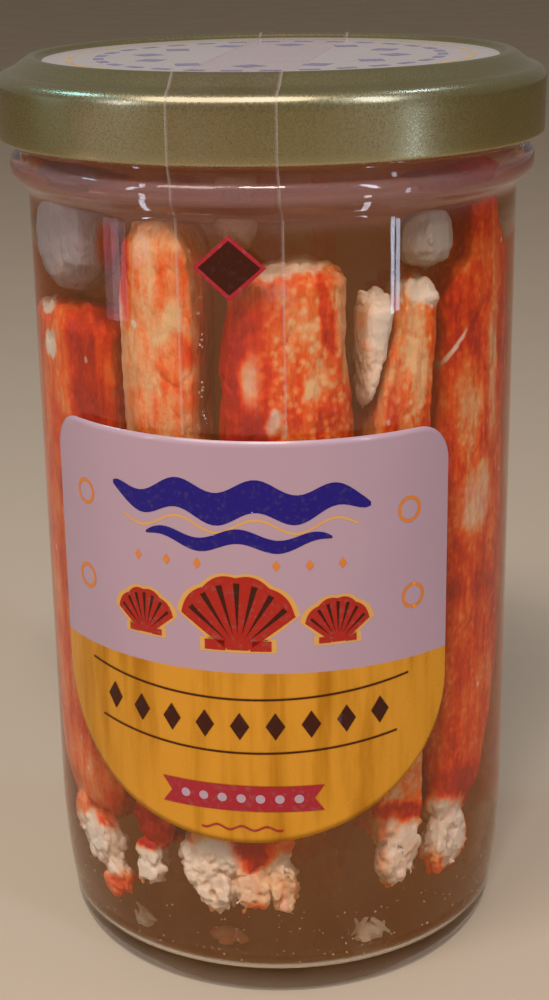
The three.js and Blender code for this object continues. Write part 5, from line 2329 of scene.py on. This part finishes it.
@dataclass
class PhotoCamera:
    """The camera, at the photograph's angle: lengths in millimetres, turns in degrees."""

    azimuth: float = 9.4
    distance: float = 285.5
    height: float = 169.9
    yaw: float = -0.10
    pitch: float = -18.66
    roll: float = -0.91
    focal_pixels: float = 1781.0
    frame_height: float = 1000.0
    sensor: float = 36.0

    def build(self) -> None:
        """Makes the camera and looks through it."""
        data = bpy.data.cameras.new("photo_camera")
        data.sensor_width = self.sensor
        data.lens = self.focal_pixels / self.frame_height * self.sensor
        camera = bpy.data.objects.new("photo_camera", data)
        bpy.context.scene.collection.objects.link(camera)
        yaw = math.radians(self.yaw - self.azimuth)
        pitch = math.radians(self.pitch)
        ahead = Vector(
            (math.sin(yaw) * math.cos(pitch), math.cos(yaw) * math.cos(pitch), math.sin(pitch))
        )
        right = Vector((math.cos(yaw), -math.sin(yaw), 0.0))
        up = right.cross(ahead)
        roll = math.radians(self.roll)
        level = right * math.cos(roll) + up * math.sin(roll)
        upright = up * math.cos(roll) - right * math.sin(roll)
        turn = Matrix((level, upright, -ahead)).transposed().to_4x4()
        place = polar(self.distance, self.azimuth, self.height) * MM
        camera.matrix_world = Matrix.Translation(Vector(place)) @ turn
        bpy.context.scene.camera = camera


@dataclass(frozen=True)
class Lamp:
    """A soft rectangular lamp: places and sizes in millimetres, power in watts."""

    name: str
    place: Triple
    size: Point
    power: float
    colour: Triple
    aim: Triple = (0.0, 0.0, 75.0)

    def hang(self) -> None:
        """Hangs the lamp and turns it to what it faces."""
        data = bpy.data.lights.new(self.name, "AREA")
        data.shape = "RECTANGLE"
        data.size, data.size_y = self.size[0] * MM, self.size[1] * MM
        data.energy = self.power
        data.color = self.colour
        lamp = bpy.data.objects.new(self.name, data)
        bpy.context.scene.collection.objects.link(lamp)
        lamp.location = Vector(self.place) * MM
        way = Vector(self.aim) * MM - lamp.location
        lamp.rotation_euler = way.to_track_quat("-Z", "Y").to_euler()


@dataclass
class Studio:
    """A plain pale floor and soft light from above and both sides."""

    floor_size: float = 8000.0
    world: Triple = (0.86, 0.80, 0.75)
    world_strength: float = 0.30
    lamps: tuple[Lamp, ...] = (
        Lamp("overhead", (-420, -620, 950), (420, 420), 5.0, (1.0, 0.89, 0.80)),
        Lamp("overhead_front", (34, -560, 850), (240, 140), 6.2, (1.0, 0.91, 0.82)),
        Lamp("left_sheen", (-900, -30, 150), (300, 160), 0.07, (0.55, 0.82, 0.95), (0, 0, 140)),
        Lamp("left_window", (-900, -700, 420), (60, 420), 1.2, (0.75, 0.82, 1.0)),
        Lamp("right_window", (650, -500, 520), (60, 500), 1.8, (0.80, 0.85, 1.0)),
        Lamp("right_strip", (394, -181, 62), (16, 76), 0.035, (0.62, 0.78, 1.0), (0, 0, 62)),
        Lamp("left_strip", (-395, -168, 41), (68, 39), 0.012, (0.85, 0.55, 0.72), (0, 0, 60)),
        Lamp("left_cyan", (-420, -8, 461), (60, 60), 0.35, (0.35, 0.75, 1.0), (0, 0, 143)),
        Lamp("right_blue", (405, 60, 670), (60, 60), 0.35, (0.55, 0.72, 1.0), (0, 0, 143)),
    )

    def build(self) -> None:
        """Lays the floor, lights the world and hangs the lamps."""
        half = self.floor_size / 2
        corners = np.array([[-half, -half, 0], [half, -half, 0], [half, half, 0], [-half, half, 0]])
        floor = new_piece("studio_floor", corners, [[0, 1, 2, 3]])
        floor.data.materials.append(StudioFloor().material())
        world = bpy.data.worlds.new("studio_world")
        world.use_nodes = True
        shade = world.node_tree.nodes["Background"]
        shade.inputs["Color"].default_value = opaque(self.world)
        shade.inputs["Strength"].default_value = self.world_strength
        bpy.context.scene.world = world
        for lamp in self.lamps:
            lamp.hang()


def main() -> None:
    """Builds everything in order and reports each piece."""
    bpy.context.scene.view_settings.view_transform = "Khronos PBR Neutral"
    logging.basicConfig(level=logging.INFO, format="%(name)s %(message)s", stream=sys.stdout)
    PhotoCamera().build()
    Studio().build()
    jar = GlassJar()
    jar.build()
    Brine(jar).build()
    meat = CrabMeat()
    meat.build()
    Crumbs().build(meat)
    label = Label(jar)
    label.build()
    LabelPrint(label).build()
    lid = Lid()
    lid.build()
    LidPrint(lid).build()
    SealRing(jar, lid).build()
    SealTape(jar, lid).build()


if __name__ == "__main__":
    main()
